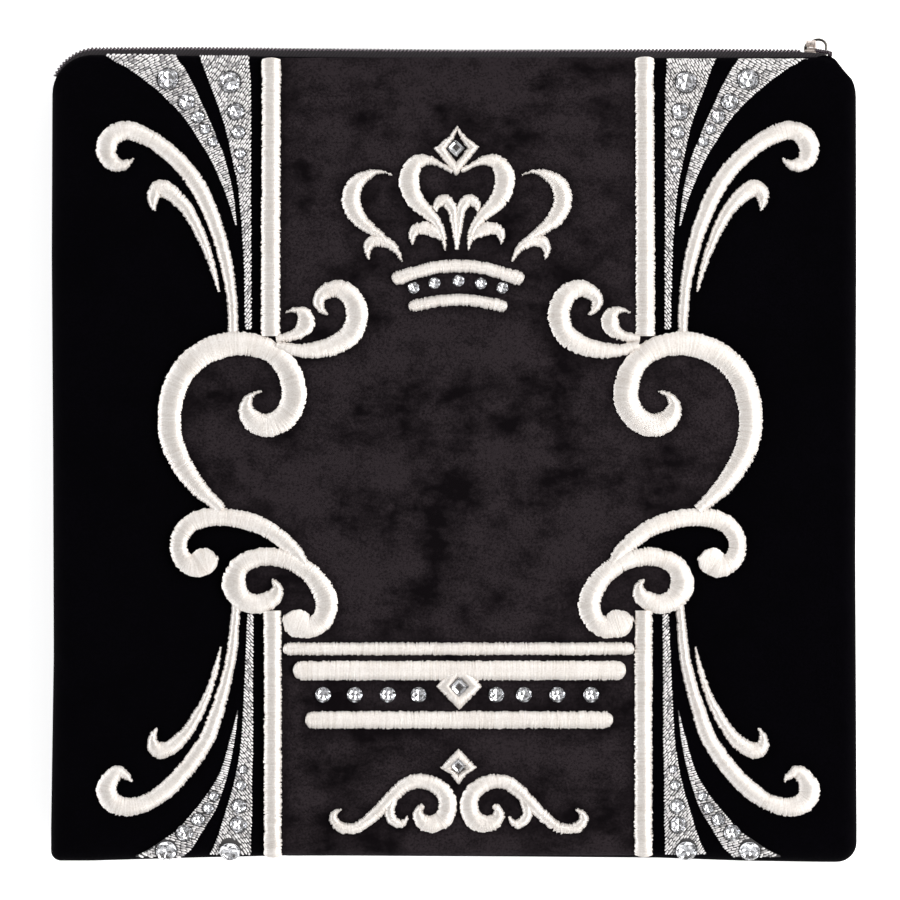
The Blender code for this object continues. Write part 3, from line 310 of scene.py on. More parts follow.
# Zip: distance outside the hem and height of each corner of a tape's section
TAPE_SECTION = [(-1.6, 14.4), (0.5, 14.35), (1.9, 14.1), (1.9, 14.8), (0.5, 15.05), (-1.6, 15.1)]
ZIP_FROM_Y = 112.6
SLIDER_X = (104.0, 110.7)
SLIDER_Y = (119.8, 121.6)
PIVOT = (106.7, 123.5, SEAM_Z)
STOP_SIZE = (1.4, 1.6, 3.2)
STOP_BEVEL = 0.35
STOP_GAP = 0.3
STOP_SINK = 0.3

# How far the zip is drawn in towards the hem: by distance from its ends, and by x at the shoulder
END_PULL = [(0.0, 1.7), (6.3, 1.26), (12.6, 0.44), (43.0, 0.0)]
SHOULDER_PULL = [(106.0, 0.0), (109.5, 0.5), (111.5, 1.6), (114.0, 2.2)]

# Satin stitches: pitch, section, random changes and the painted shade of the valleys between them
PITCH = 0.42
RIDGE_STEPS = 3
RIDGE = 0.042
SECTION = 9
FOOT = 0.65
DOME_POWER = 2.2
DOME_FALL = 0.9
EDGE_JITTER = 0.125
LIFT_JITTER = 0.012
LONGEST_STRAY = 0.2
DEEPEST_PULL = 0.3
VALLEY_PULL = 0.1
VALLEY_SHADE = 0.5
BLUNT_END = 1.5
OVERRUN = 0.45
CURVE_STEPS = 14

# Threads of the fans: direction in degrees at the left, turned over at the right
FAN_ANGLES = {"upper_outer": 25.0, "upper_inner": 56.0, "lower_outer": -14.0, "lower_inner": -50.0}
THREAD_PITCH = 0.68
THREAD_LENGTH = 1.7
THREAD_WIDTH = 0.68
THREAD_RISE = 0.36
THREAD_GAP = 0.04
THREAD_SINK = 0.06
THREAD_SHIFT = 0.055
THREAD_LEAN = 0.09
WIDTH_SPREAD = (0.84, 1.06)
RISE_SPREAD = (0.8, 1.15)
END_RISE = 0.25
RUN_STEP = 0.12
SHORTEST_THREAD = 0.5
SHORTEST_STITCH = 0.6
STONE_RING = 0.1

# One stitch: share along, width, height; and its section: across, height
THREAD_SHAPE = [(0.0, 0.3, 0.0), (0.16, 0.86, 0.75), (0.5, 1.0, 1.0), (0.84, 0.86, 0.75), (1.0, 0.3, 0.0)]
THREAD_ARC = [(-1.0, 0.0), (-0.62, 0.75), (0.0, 1.0), (0.62, 0.75), (1.0, 0.0)]

# Dark cloth under the threads, and how far below the hem the threads end: x, distance
GROUND_RISE = 0.3
GROUND_SINK = 0.15
GROUND_INSET = 0.25
GROUND_INSET_SHARE = 0.2
GROUND_COLUMNS = 5
GROUND_SKIP = 3
HEM_MARGIN = 0.2
HEM_CUT = [(-110.0, 0.3), (110.0, 0.9)]

# Velvet waves: rate along x, rate along y, phase, size; then the seam's puckers: rate, size
WAVES = [(0.031, 0.012, 0.4, 0.45), (-0.017, 0.038, 1.7, 0.4), (0.055, -0.041, 3.1, 0.22),
         (0.012, 0.085, 0.9, 0.16), (0.098, 0.022, 5.0, 0.12)]
CALM_REACH = 14.0
SEAM_PUCKERS = [(0.55, 0.16), (0.83, 0.1), (1.3, 0.06)]
PUCKER_SLANT = 0.37
PUCKER_BAND = (4.0, 5.0, 22.0)

# Rings of points of a panel: inset and height in the seam, then insets on the face
SEAM_TUCK = [(0.9, -0.15), (0.4, 0.0), (0.1, 0.3), (0.0, 0.8)]
EDGE_INSETS = [0.12, 0.35, 0.7, 1.15, 1.7, 2.4, 3.2, 4.1, 5.1, 6.2, 7.5, 9.0]
INNER_INSETS = [66.0, 74.0, 84.0, 96.0, 108.0, 117.0]
INSET_STEP = 1.5
SIDE_STEPS = 108
ARC_STEPS = 11
SHELL = 1.2

# Velvet pushed down beside the stitches, with painted shade beside them (partly standing for flattened pile),
# and the charcoal field's grid
PRESS_DEPTH = 0.28
PRESS_REACH = 1.0
UNPRESSED_RINGS = 3
SHADE_REACH = 3.2
FIELD_STEP = 1.0
FIELD_ACROSS = 121

# Coil, its sewing thread (pale, also a painted highlight on each tooth) and the last teeth beyond the slider
COIL_PITCH = 1.1
COIL_WIRE = 0.36
COIL_LOOP = (0.86, 1.15)
COIL_OUT = {"front": 1.65, "back": 1.2}
COIL_Z = 0.95
COIL_TURN_STEPS = 12
COIL_END = [(107.5, 121.4), (111.7, 120.75)]
COIL_END_TURNS = 6
COIL_END_STEPS = 10
COIL_END_LOOP = 0.42
COIL_END_Z = 1.3
STITCH_OUT = 0.1
STITCH_REACH = 0.3
STITCH_WIRE = 0.17
STITCH_SPREAD = (0.85, 1.1)
STITCH_Z = 14.5
STITCH_BEND = [(-1.0, -0.25), (-0.5, 0.0), (0.5, 0.0), (1.0, -0.25)]
WIRE_SIDES = 5
STITCH_SIDES = 6
TAPE_STEP = 0.8
TAPE_SKIP = 4

# Slider: low corner, high corner and bevel of each block, with z measured from the seam
SLIDER_BODY = [
    ((104.0, 120.9, -1.9), (107.7, 121.6, 1.9), 0.22),
    ((104.0, 119.8, -1.9), (110.7, 120.4, 1.3), 0.25),
    ((104.3, 120.2, 1.4), (107.7, 121.2, 1.88), 0.18),
    ((104.3, 120.2, -1.88), (107.7, 121.2, -1.4), 0.18),
    ((104.95, 121.3, -1.25), (107.7, 122.35, 1.25), 0.16),
]
SLIDER_BRIDGE = [
    ((103.9, 121.1, -0.9), (104.95, 122.8, 0.9), 0.22),
    ((109.9, 121.0, -0.7), (110.8, 121.7, 0.7), 0.2),
]
ARCH_PATH = [(104.4, 121.2), (104.35, 122.5), (104.7, 123.3), (105.4, 123.6), (106.2, 123.95),
             (107.0, 124.5), (108.0, 124.75), (109.0, 124.65), (109.9, 124.2), (110.45, 123.4),
             (110.55, 122.5), (110.5, 121.3)]
ARCH_SKIP = 5
ARCH_RADIUS = 0.42
ARCH_SIDES = 12

# Pull: half sections of its ring (x, radius) and of its tab (x, z below the ring)
RING_SHIFT = -0.7
RING_SIDE = [(1.45, 0.86), (1.45, 0.98), (1.33, 1.1), (0.65, 1.1), (0.5, 0.96)]
RING_BORE = (1.33, 0.74)
RING_SIDES = 32
TAB_SIDE = [(0.75, 0.15), (0.95, -0.9), (1.5, -2.6), (1.5, -7.5)]
TAB_ROUND = 1.5
TAB_ROUND_POINTS = 8
TAB_THICK = 0.9
TAB_DROP = 1.1
TAB_RIM = 0.38
TAB_SINK = 0.16
TAB_SLOPE = 0.12

# Edges sharper than this stay sharp, in degrees
SHARP = 40
SHARP_ZIP = 50

# Stage: sizes of the frame and lens in millimetres, the rest in metres
FRAME_WIDTH = 270.0
FRAME_CENTRE = (-2.4, 1.5)
LENS = 800.0
SENSOR = 36.0
FLOOR_HALF = 12.0
FLOOR_DROP = 0.0002
FLOOR_TONES = [(0.3, (0.93, 0.93, 0.93)), (0.7, (0.95, 0.95, 0.95))]
FLOOR_GLOW = 0.6
SKY = [(0.0, (0.8, 0.8, 0.8)), (0.55, (0.68, 0.68, 0.68)), (0.92, (0.05, 0.04, 0.033))]
SKY_STRENGTH = 0.9

# Soft lights, aimed at the middle: place, size, watts, colour
SOFTBOXES = {
    "left_softbox": ((-1.7, 0.0, 0.55), (2.8, 0.6), 21.0, (0.95, 0.97, 1.0)),
    "right_softbox": ((1.25, 0.0, 1.3), (3.0, 1.2), 46.0, (1.0, 0.98, 0.96)),
    "top_softbox": ((0.1, 1.3, 1.2), (1.4, 0.8), 1.5, (1.0, 1.0, 1.0)),
}


def read(table, at):
    """Value of a two-column table at places between its rows."""
    return np.interp(at, [row[0] for row in table], [row[1] for row in table])


def smoothstep(low, high, at):
    t = np.clip((at - low) / (high - low), 0.0, 1.0)
    return t * t * (3 - 2 * t)


def edge_distance(x, y):
    """Distance inside the panel's edge, and how wide that edge is rounded."""
    left = x < MIDDLE_X
    low = y < 0
    dx = np.where(left, x - read(LEFT_EDGE, y), read(RIGHT_EDGE, y) - x)
    dy = np.where(low, y - read(BOTTOM_EDGE, x), read(TOP_HEM, x) - y)
    lower = np.where(left, CORNER_RADIUS["bottom_left"], CORNER_RADIUS["bottom_right"])
    upper = np.where(left, CORNER_RADIUS["top_left"], CORNER_RADIUS["top_right"])
    radius = np.where(low, lower, upper)
    side = ROUNDING["side"]
    end = np.where(low, ROUNDING["bottom"], ROUNDING["top"])
    across = radius - dx
    along = radius - dy
    reach = np.maximum(np.hypot(across, along), 1e-9)
    share = across ** 2 / reach ** 2
    corner = (dx < radius) & (dy < radius)
    by_side = dx / side < dy / end
    distance = np.where(corner, radius - reach, np.where(by_side, dx, dy))
    width = np.where(corner, side * share + end * (1 - share), np.where(by_side, side, end))
    return distance, width


def rim_z(y):
    return SEAM_Z + SEAM_GAP / 2 + HEM_LIFT * smoothstep(LIFT_FROM_Y, LIFT_FULL_Y, y)


def front_z(x, y):
    """Outer surface of the front panel, with soft waves in its cloth."""
    x = np.asarray(x, float)
    y = np.asarray(y, float)
    distance, width = edge_distance(x, y)
    t = np.clip(distance / width, 0.0, 1.0)
    lip = rim_z(y) + RIM_STRIP
    u = np.minimum(np.abs(x - MIDDLE_X) / HALF_SIZE, 1.0)
    v = np.minimum(np.abs(y) / HALF_SIZE, 1.0)
    calm = smoothstep(0.0, CALM_REACH, distance)
    wave = sum(size * np.sin(kx * x + ky * y + phase) for kx, ky, phase, size in WAVES)
    pucker = sum(size * np.sin(rate * (x + y)) * np.sin(rate * PUCKER_SLANT * (x - y))
                 for rate, size in SEAM_PUCKERS)
    start, full, end = PUCKER_BAND
    ripple = pucker * smoothstep(0.0, start, distance) * (1 - smoothstep(full, end, distance))
    dome = CROWN * (1 - u * u) * (1 - v * v)
    return lip + (FACE_Z - lip) * np.sqrt(1 - (1 - t) ** 2) + dome + wave * calm + ripple


def raised(xy, height):
    """Points at a height above the front panel, measured along its normal."""
    x = xy[..., 0]
    y = xy[..., 1]
    slope_x = (front_z(x + NORMAL_STEP, y) - front_z(x - NORMAL_STEP, y)) / (2 * NORMAL_STEP)
    slope_y = (front_z(x, y + NORMAL_STEP) - front_z(x, y - NORMAL_STEP)) / (2 * NORMAL_STEP)
    normal = np.stack([-slope_x, -slope_y, np.ones_like(slope_x)], axis=-1)
    normal /= np.linalg.norm(normal, axis=-1, keepdims=True)
    base = np.stack([x, y, front_z(x, y)], axis=-1)
    return base + normal * np.asarray(height)[..., None]


def make_piece(name, points, faces, looks, slot, nodes, body="bag", sharp=None, picks=None):
    """Mesh object from points in millimetres, on a body, in place of nodes of the frame.

    picks gives each face its look, and leaves the faces flat.
    """
    mesh = bpy.data.meshes.new(name)
    mesh.from_pydata((np.asarray(points, float) * MM).tolist(), [], [tuple(f) for f in faces])
    tidy = bmesh.new()
    tidy.from_mesh(mesh)
    bmesh.ops.recalc_face_normals(tidy, faces=tidy.faces)
    tidy.to_mesh(mesh)
    tidy.free()
    for look in looks:
        mesh.materials.append(LOOK[look])
    if picks is not None:
        mesh.polygons.foreach_set("material_index", np.asarray(picks, np.int32))
    else:
        mesh.shade_smooth()
        if sharp:
            mesh.set_sharp_from_angle(angle=math.radians(sharp))
    thing = bpy.data.objects.new(name, mesh)
    bpy.context.scene.collection.objects.link(thing)
    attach(thing, body)
    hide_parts(*nodes)
    return thing


def thicken(thing, depth):
    """Gives a surface a wall, inwards."""
    wall = thing.modifiers.new("wall", "SOLIDIFY")
    wall.thickness = depth * MM
    wall.offset = -1


def point_values(thing, name, values):
    """Stores one number, or one direction, at each point of a mesh."""
    values = np.asarray(values, np.float32)
    if values.ndim == 1:
        attribute = thing.data.attributes.new(name, "FLOAT", "POINT")
        attribute.data.foreach_set("value", values)
    else:
        attribute = thing.data.attributes.new(name, "FLOAT_VECTOR", "POINT")
        attribute.data.foreach_set("vector", values.ravel())


def grid_faces(rows, columns, wrap=False, close=False):
    """Quads between the rows of a grid of points; wrap joins the last column to the first."""
    last = columns if wrap else columns - 1
    r, c = np.meshgrid(np.arange(rows - (0 if close else 1)), np.arange(last), indexing="ij")
    after_r = (r + 1) % rows
    after_c = (c + 1) % columns
    here, there = r * columns, after_r * columns
    return np.stack([here + c, here + after_c, there + after_c, there + c], -1).reshape(-1, 4).tolist()


def tube_faces(rows, columns):
    """Faces of a tube made of closed rings of points, with both ends capped."""
    caps = [list(range(columns)), list(range((rows - 1) * columns, rows * columns))]
    return grid_faces(rows, columns, wrap=True) + caps


def lengths(path):
    """Length along a path up to each of its points, from x and y."""
    return np.concatenate([[0.0], np.cumsum(np.hypot(*np.diff(path[:, :2], axis=0).T))])


def between_rows(at, length, rows):
    """Rows of numbers at lengths between those of a table."""
    return np.column_stack([np.interp(at, length, column) for column in rows.T])


def directions(path):
    """Unit direction of a path at each of its points."""
    along = np.gradient(path, axis=0)
    return along / np.linalg.norm(along, axis=1, keepdims=True)


def smooth_path(rows, step=None):
    """Smooth curve through rows of numbers, x and y first, at equal steps of its length."""
    points = np.array(rows, float)
    ends = np.vstack([2 * points[0] - points[1], points, 2 * points[-1] - points[-2]])
    t = np.linspace(0, 1, CURVE_STEPS, endpoint=False)[:, None]
    parts = []
    for i in range(1, len(ends) - 2):
        a, b, c, d = ends[i - 1:i + 3]
        bend, twist = 2 * a - 5 * b + 4 * c - d, 3 * b - a - 3 * c + d
        parts.append(0.5 * (2 * b + (c - a) * t + bend * t ** 2 + twist * t ** 3))
    curve = np.vstack(parts + [points[-1:]])
    if step is None:
        return curve
    length = lengths(curve)
    count = max(int(round(length[-1] / step)), 4)
    return between_rows(np.linspace(0, length[-1], count + 1), length, curve)


def strip_edges(rows, overrun=True):
    """Left and right edge of a strip, one pair of points for each step of its stitches."""
    path = smooth_path(rows, PITCH / RIDGE_STEPS)
    along = directions(path[:, :2])
    extra = int(round(OVERRUN / PITCH * RIDGE_STEPS))
    step = PITCH / RIDGE_STEPS * np.arange(1, extra + 1)[:, None]
    if overrun and path[0, 2] > BLUNT_END:
        head = np.column_stack([path[0, :2] - along[0] * step[::-1], np.full(extra, path[0, 2])])
        path = np.vstack([head, path])
        along = np.vstack([np.repeat(along[:1], extra, axis=0), along])
    if overrun and path[-1, 2] > BLUNT_END:
        tail = np.column_stack([path[-1, :2] + along[-1] * step, np.full(extra, path[-1, 2])])
        path = np.vstack([path, tail])
        along = np.vstack([along, np.repeat(along[-1:], extra, axis=0)])
    half = np.maximum(path[:, 2:3], THIN_STRIP) / 2
    across = np.column_stack([-along[:, 1], along[:, 0]])
    edges = [path[:, :2] + across * half, path[:, :2] - across * half]
    for edge in edges:
        for i in range(1, len(edge)):
            if (edge[i] - edge[i - 1]) @ along[i] < 0:
                edge[i] = edge[i - 1]
    return edges


def satin(name, left, right, base, nodes, rise=SATIN, closed=False):
    """Raised satin: one rounded thread after another, laid between two edges."""
    count = len(left)
    step = np.arange(count)
    stitch = step // RIDGE_STEPS
    valley = (step % RIDGE_STEPS == 0).astype(float)
    width = np.maximum(np.hypot(*(right - left).T), 1e-6)[:, None]
    direction = (right - left) / width
    pull = RANDOM.normal(0.0, EDGE_JITTER, (stitch[-1] + 1, 2))[stitch] + VALLEY_PULL * valley[:, None]
    pull = np.clip(pull, -LONGEST_STRAY, DEEPEST_PULL * width)
    a = left + direction * pull[:, :1]
    b = right - direction * pull[:, 1:]
    share = 0.5 - 0.5 * np.cos(np.linspace(0, math.pi, SECTION - 2))
    share = np.concatenate([[0.0], share, [1.0]])
    foot = np.zeros(SECTION)
    foot[[0, -1]] = FOOT
    xy = a[:, None] * (1 - share)[None, :, None] + b[:, None] * share[None, :, None]
    dome = np.clip(1 - np.abs(2 * share - 1) ** DOME_POWER, 0, 1) ** DOME_FALL
    top = np.minimum(rise, THIN_STRIP + STRIP_SLOPE * width)
    lift = RANDOM.normal(0.0, LIFT_JITTER, stitch[-1] + 1)[stitch][:, None]
    ridge = (RIDGE * (0.5 - valley[:, None]) + lift) * np.sqrt(dome)
    points = raised(xy, base - foot + top * dome + ridge)
    faces = grid_faces(count, SECTION, wrap=True, close=True) if closed else tube_faces(count, SECTION)
    thing = make_piece(name, points.reshape(-1, 3), faces, ["satin"], "white_satin", nodes, sharp=SHARP)
    # Painted shade: the valley between stitches is darkened in the tone
    tone = RANDOM.uniform(0.0, 1.0, stitch[-1] + 1)[stitch] - valley * VALLEY_SHADE
    point_values(thing, "tone", np.repeat(tone, SECTION))
    thread = np.gradient(points, axis=1)
    point_values(thing, "thread", thread.reshape(-1, 3))
    STROKES.append((a[::2], b[::2]))


def strip(name, rows, base, nodes=None, rise=SATIN, overrun=True):
    left, right = strip_edges(rows, overrun)
    satin(name, left, right, base, [name] if nodes is None else nodes, rise)


def mirrored(rows):
    return [(-x, *rest) for x, *rest in rows]


def shifted(rows, shift):
    return [(x + shift, *rest) for x, *rest in rows]


def paired(table):
    """Strips of the left half, and the same mirrored; the side's name goes into the node's."""
    for side, turn in (("left", list), ("right", mirrored)):
        for name, rows, base, rise, node, *shifts in table:
            moved = shifted(turn(rows), shifts[side == "right"])
            strip(f"{name}_{side}", moved, base, [node.format(side)], rise)


def lozenge(name, outer, inner, node):
    """Ring of satin between two outlines with the same number of corners."""
    sides = len(outer)
    left, right = [], []
    for i in range(sides):
        a, b = np.array(outer[i]), np.array(outer[(i + 1) % sides])
        c, d = np.array(inner[i]), np.array(inner[(i + 1) % sides])
        count = max(int(round(np.hypot(*(b - a)) / PITCH)), 2) * RIDGE_STEPS
        t = np.arange(count)[:, None] / count
        left.append(a + (b - a) * t)
        right.append(c + (d - c) * t)
    satin(name, np.vstack(left), np.vstack(right), ON_CLOTH, [node], closed=True)


# Materials

def add(tree, kind, inputs=None, **settings):
    """New shader node, with its settings and inputs; an input is a value or another node's output."""
    made = tree.nodes.new(kind)
    for key, value in settings.items():
        setattr(made, key, value)
    for key, value in (inputs or {}).items():
        if isinstance(value, bpy.types.NodeSocket):
            tree.links.new(value, made.inputs[key])
        else:
            made.inputs[key].default_value = value
    return made


def start_material(name, **sockets):
    material = bpy.data.materials.new(name)
    material.use_nodes = True
    tree = material.node_tree
    shader = tree.nodes["Principled BSDF"]
    for key, value in sockets.items():
        shader.inputs[key.replace("_", " ")].default_value = value
    return material, tree, shader


def noise(tree, scale, detail=3.0, roughness=0.55, stretch=(1.0, 1.0, 1.0)):
    """Noise in the object's own coordinates; scale is in features per metre."""
    place = add(tree, "ShaderNodeTexCoord")
    mapped = add(tree, "ShaderNodeMapping", {"Vector": place.outputs["Object"], "Scale": stretch})
    made = add(tree, "ShaderNodeTexNoise", {"Vector": mapped.outputs["Vector"], "Scale": scale,
                                            "Detail": detail, "Roughness": roughness})
    return made.outputs["Fac"]


def ramp(tree, factor, stops):
    made = add(tree, "ShaderNodeValToRGB", {"Fac": factor})
    slots = made.color_ramp.elements
    while len(slots) < len(stops):
        slots.new(0.5)
    for slot, (at, colour) in zip(slots, stops):
        slot.position = at
        slot.color = (*colour, 1.0)
    return made.outputs["Color"]


def levels(tree, factor, low, high, first=0.0, last=1.0):
    made = add(tree, "ShaderNodeMapRange", {"Value": factor, "From Min": low, "From Max": high,
                                            "To Min": first, "To Max": last})
    return made.outputs["Result"]


def calculate(tree, operation, a, b=0.5):
    made = add(tree, "ShaderNodeMath", {0: a, 1: b}, operation=operation)
    return made.outputs["Value"]


def blend(tree, factor, dark, light):
    """Mix of two colours."""
    made = add(tree, "ShaderNodeMix", {0: factor, 6: (*dark, 1.0), 7: (*light, 1.0)}, data_type="RGBA",
               blend_type="MIX")
    return made.outputs[2]


def bump(tree, shader, height, strength, distance):
    made = add(tree, "ShaderNodeBump", {"Height": height, "Strength": strength, "Distance": distance * MM})
    tree.links.new(made.outputs["Normal"], shader.inputs["Normal"])


def attribute(tree, name, output="Fac"):
    return add(tree, "ShaderNodeAttribute", attribute_name=name).outputs[output]


def velvet(name, dark, light, sheen, clouds):
    """Cotton velvet: pile that leans in patches, with painted shade beside the stitches, partly standing for
    flattened pile.
    """
    material, tree, shader = start_material(name, Roughness=0.95, Sheen_Weight=sheen, Sheen_Roughness=0.35,
                                            Sheen_Tint=(0.8, 0.78, 0.9, 1.0))
    shader.inputs["Specular IOR Level"].default_value = 0.03
    large = noise(tree, 42.0, 5.0, 0.62)
    small = noise(tree, 95.0, 4.0, 0.6, (1.0, 1.5, 1.0))
    both = calculate(tree, "ADD", calculate(tree, "MULTIPLY", large, 0.62),
                     calculate(tree, "MULTIPLY", small, 0.38))
    cloud = levels(tree, both, 0.5 - clouds, 0.5 + clouds * 0.7)
    grain = noise(tree, 1500.0, 2.0, 0.7)
    tufts = levels(tree, grain, 0.35, 0.65, 0.4, 1.6)
    # Painted shade: colour darkened beside the satin, standing in for its shade and partly for flattened pile
    shadow = calculate(tree, "MULTIPLY", attribute(tree, "stitch_shade"), 0.62)
    unshaded_share = calculate(tree, "SUBTRACT", 1.0, shadow)
    share = calculate(tree, "MULTIPLY", calculate(tree, "MULTIPLY", cloud, unshaded_share), tufts)
    tree.links.new(blend(tree, share, dark, light), shader.inputs["Base Color"])
    pile = noise(tree, 2600.0, 2.0, 0.6)
    bump(tree, shader, pile, 0.35, 0.25)
    return material


def satin_thread(name, tint):
    """Glossy rayon thread: the gloss lies across the thread's direction."""
    material, tree, shader = start_material(name, Roughness=0.49, Metallic=0.42, Anisotropic=0.8,
                                            Anisotropic_Rotation=0.25)
    shader.inputs["Specular IOR Level"].default_value = 0.5
    # Darker end of the colour: reached by the painted shade in the valleys, by random tone and by the mottle
    shade = tuple(c * share for c, share in zip(tint, (0.66, 0.62, 0.58)))
    tone = attribute(tree, "tone")
    # Darker mottled patches and specks over the whole thread
    patches = levels(tree, noise(tree, 120.0, 3.0), 0.35, 0.65, 0.0, 0.16)
    specks = levels(tree, noise(tree, 2400.0, 2.0), 0.42, 0.72, 0.0, 0.4)
    mottle = calculate(tree, "ADD", patches, specks)
    share = calculate(tree, "SUBTRACT", levels(tree, tone, -0.5, 1.0, 0.55, 1.0), mottle)
    tree.links.new(blend(tree, share, shade, tint), shader.inputs["Base Color"])
    tree.links.new(attribute(tree, "thread", "Vector"), shader.inputs["Tangent"])
    bump(tree, shader, noise(tree, 5200.0, 2.0), 0.12, 0.06)
    return material


def metal_thread(name):
    """Silver lurex: flat bright film wound round a core."""
    material, tree, shader = start_material(name, Roughness=0.3, Metallic=0.15)
    tone = attribute(tree, "tone")
    colour = ramp(tree, tone, [(0.0, (0.3, 0.29, 0.3)), (0.25, (0.8, 0.78, 0.78)),
                               (1.0, (0.98, 0.96, 0.96))])
    tree.links.new(colour, shader.inputs["Base Color"])
    glint = noise(tree, 3800.0, 2.0)
    tree.links.new(levels(tree, glint, 0.35, 0.65, 0.24, 0.5), shader.inputs["Roughness"])
    bump(tree, shader, glint, 0.35, 0.08)
    return material


def plain(name, colour, roughness, metallic=0.0, scale=900.0, strength=0.2, depth=0.1, vary=0.25):
    """Even material with small changes of tone and a fine surface."""
    material, tree, shader = start_material(name, Roughness=roughness, Metallic=metallic)
    fine = noise(tree, scale, 3.0)
    dark = tuple(c * (1 - vary) for c in colour)
    tree.links.new(blend(tree, levels(tree, fine, 0.3, 0.7), dark, colour), shader.inputs["Base Color"])
    matt = min(roughness * 1.2, 1.0)
    tree.links.new(levels(tree, fine, 0.3, 0.7, roughness * 0.85, matt), shader.inputs["Roughness"])
    bump(tree, shader, fine, strength, depth)
    return material


def tape_cloth(name):
    """Woven zip tape: a fine herringbone of dark yarns."""
    material, tree, shader = start_material(name, Roughness=0.8, Sheen_Weight=0.2, Sheen_Roughness=0.4)
    place = add(tree, "ShaderNodeTexCoord").outputs["Object"]
    lean = add(tree, "ShaderNodeMapping", {"Vector": place, "Rotation": (0.0, 0.0, math.radians(40.0))})
    wave = add(tree, "ShaderNodeTexWave",
               {"Vector": lean.outputs["Vector"], "Scale": 420.0, "Distortion": 1.5},
               wave_type="BANDS", bands_direction="X")
    yarn = wave.outputs["Fac"]
    colour = ramp(tree, yarn, [(0.0, (0.006, 0.005, 0.006)), (1.0, (0.026, 0.020, 0.026))])
    tree.links.new(colour, shader.inputs["Base Color"])
    bump(tree, shader, yarn, 0.5, 0.12)
    return material


def crystal(name):
    material, tree, shader = start_material(name, Roughness=0.0, IOR=1.56, Base_Color=(0.97, 0.98, 1.0, 1.0))
    shader.inputs["Transmission Weight"].default_value = 1.0
    dust = levels(tree, noise(tree, 600.0), 0.4, 0.8, 0.0, 0.06)
    tree.links.new(dust, shader.inputs["Roughness"])
    return material


def make_materials():
    LOOK["velvet"] = velvet("black_velvet", (0.0002, 0.0001, 0.0005), (0.0009, 0.0006, 0.0015), 0.008, 0.3)
    LOOK["charcoal"] = velvet("charcoal_velvet", (0.0040, 0.0029, 0.0037), (0.0245, 0.0192, 0.0220), 0.02,
                              0.10)
    LOOK["satin"] = satin_thread("white_satin", (0.93, 0.895, 0.865))
    LOOK["metal_thread"] = metal_thread("silver_thread")
    LOOK["ground"] = plain("fan_ground", (0.06, 0.058, 0.06), 0.7)
    LOOK["glass"] = crystal("rhinestone_glass")
    LOOK["foil"] = plain("rhinestone_foil", (0.86, 0.86, 0.88), 0.06, 0.9, 400.0, 0.05, 0.02, 0.08)
    LOOK["tape"] = tape_cloth("zip_tape")
    LOOK["coil"] = plain("zip_coil", (0.045, 0.030, 0.040), 0.22, 0.0, 1500.0, 0.1, 0.03)
    # Sewing thread, pale as painted highlights on the coil's teeth
    LOOK["stitches"] = plain("zip_stitches_and_highlights", (0.28, 0.22, 0.26), 0.6)
    # Lit and shaded copies of one nickel: the bridge's darker copy is painted shade, the body's and pull's
    # lighter, less metallic copy is painted light
    LOOK["dark_nickel"] = plain("dark_nickel", (0.2, 0.19, 0.175), 0.2, 1.0, 500.0, 0.08, 0.02, 0.2)
    LOOK["nickel"] = plain("nickel", (0.86, 0.76, 0.70), 0.3, 0.75, 500.0, 0.08, 0.02, 0.2)


# Embroidery

def crown():
    paired(CROWN_STRIPS)
    lozenge("crown_lozenge", shifted(CROWN_LOZENGE, CROWN_SHIFT), shifted(CROWN_OPENING, CROWN_SHIFT),
            "crown_heart")
    strip("crown_band_upper", CROWN_BAND_UPPER, ON_CLOTH, overrun=False)
    strip("crown_band_lower", CROWN_BAND_LOWER, ON_CLOTH, overrun=False)


def bar_rows(y, left, right, width):
    """Path of a straight bar with round ends."""
    first = [(left + width * along, y, width * share) for along, share in BAR_END]
    last = [(right - width * along, y, width * share) for along, share in reversed(BAR_END)]
    middle = [(left + (right - left) * t, y, width) for t in BAR_MIDDLE]
    return first + middle + last


def shrunk(corners, share):
    x, y = (sum(p[k] for p in corners) / len(corners) for k in range(2))
    return [(x + (px - x) * share, y + (py - y) * share) for px, py in corners]


def base_row():
    for name, row in BARS.items():
        strip(name, bar_rows(*row), ON_CLOTH, overrun=False)
    lozenge("base_lozenge", BASE_LOZENGE, shrunk(BASE_LOZENGE, LOZENGE_OPENING), "base_bar_middle")


def foot():
    paired(FLOURISH_STRIPS)
    lozenge("foot_lozenge", FOOT_LOZENGE, shrunk(FOOT_LOZENGE, LOZENGE_OPENING), "foot_lozenge")


# Fans

def fan_runs(rows, angle, stones):
    """Straight lines across a fan in the threads' direction, cut at its edges and round its stones."""
    edge = smooth_path([(y, 0.0, left, right) for y, left, right in rows])
    edge = edge[np.argsort(edge[:, 0])]
    y_low, y_high = edge[0, 0], edge[-1, 0]
    corners = np.array([(left, y) for y, left, right in rows] + [(right, y) for y, left, right in rows])
    direction = np.array([math.cos(angle), math.sin(angle)])
    normal = np.array([-direction[1], direction[0]])
    offsets = np.arange((corners @ normal).min(), (corners @ normal).max(), THREAD_PITCH)
    reach = corners @ direction
    along = np.arange(reach.min(), reach.max(), RUN_STEP)
    runs = []
    for offset in offsets:
        line = normal * offset + direction * along[:, None]
        x, y = line[:, 0], line[:, 1]
        inside = (y > y_low) & (y < y_high) & (y < read(TOP_HEM, x) + HEM_MARGIN)
        inside &= (x > np.interp(y, edge[:, 0], edge[:, 2])) & (x < np.interp(y, edge[:, 0], edge[:, 3]))
        for sx, sy, diameter in stones:
            inside &= np.hypot(x - sx, y - sy) > diameter / 2 + STONE_RING
        change = np.flatnonzero(np.diff(np.concatenate([[0], inside.astype(int), [0]])))
        for first, last in zip(change[::2], change[1::2]):
            if along[last - 1] - along[first] > SHORTEST_THREAD:
                runs.append((offset, along[first], along[last - 1]))
    return runs, direction, normal


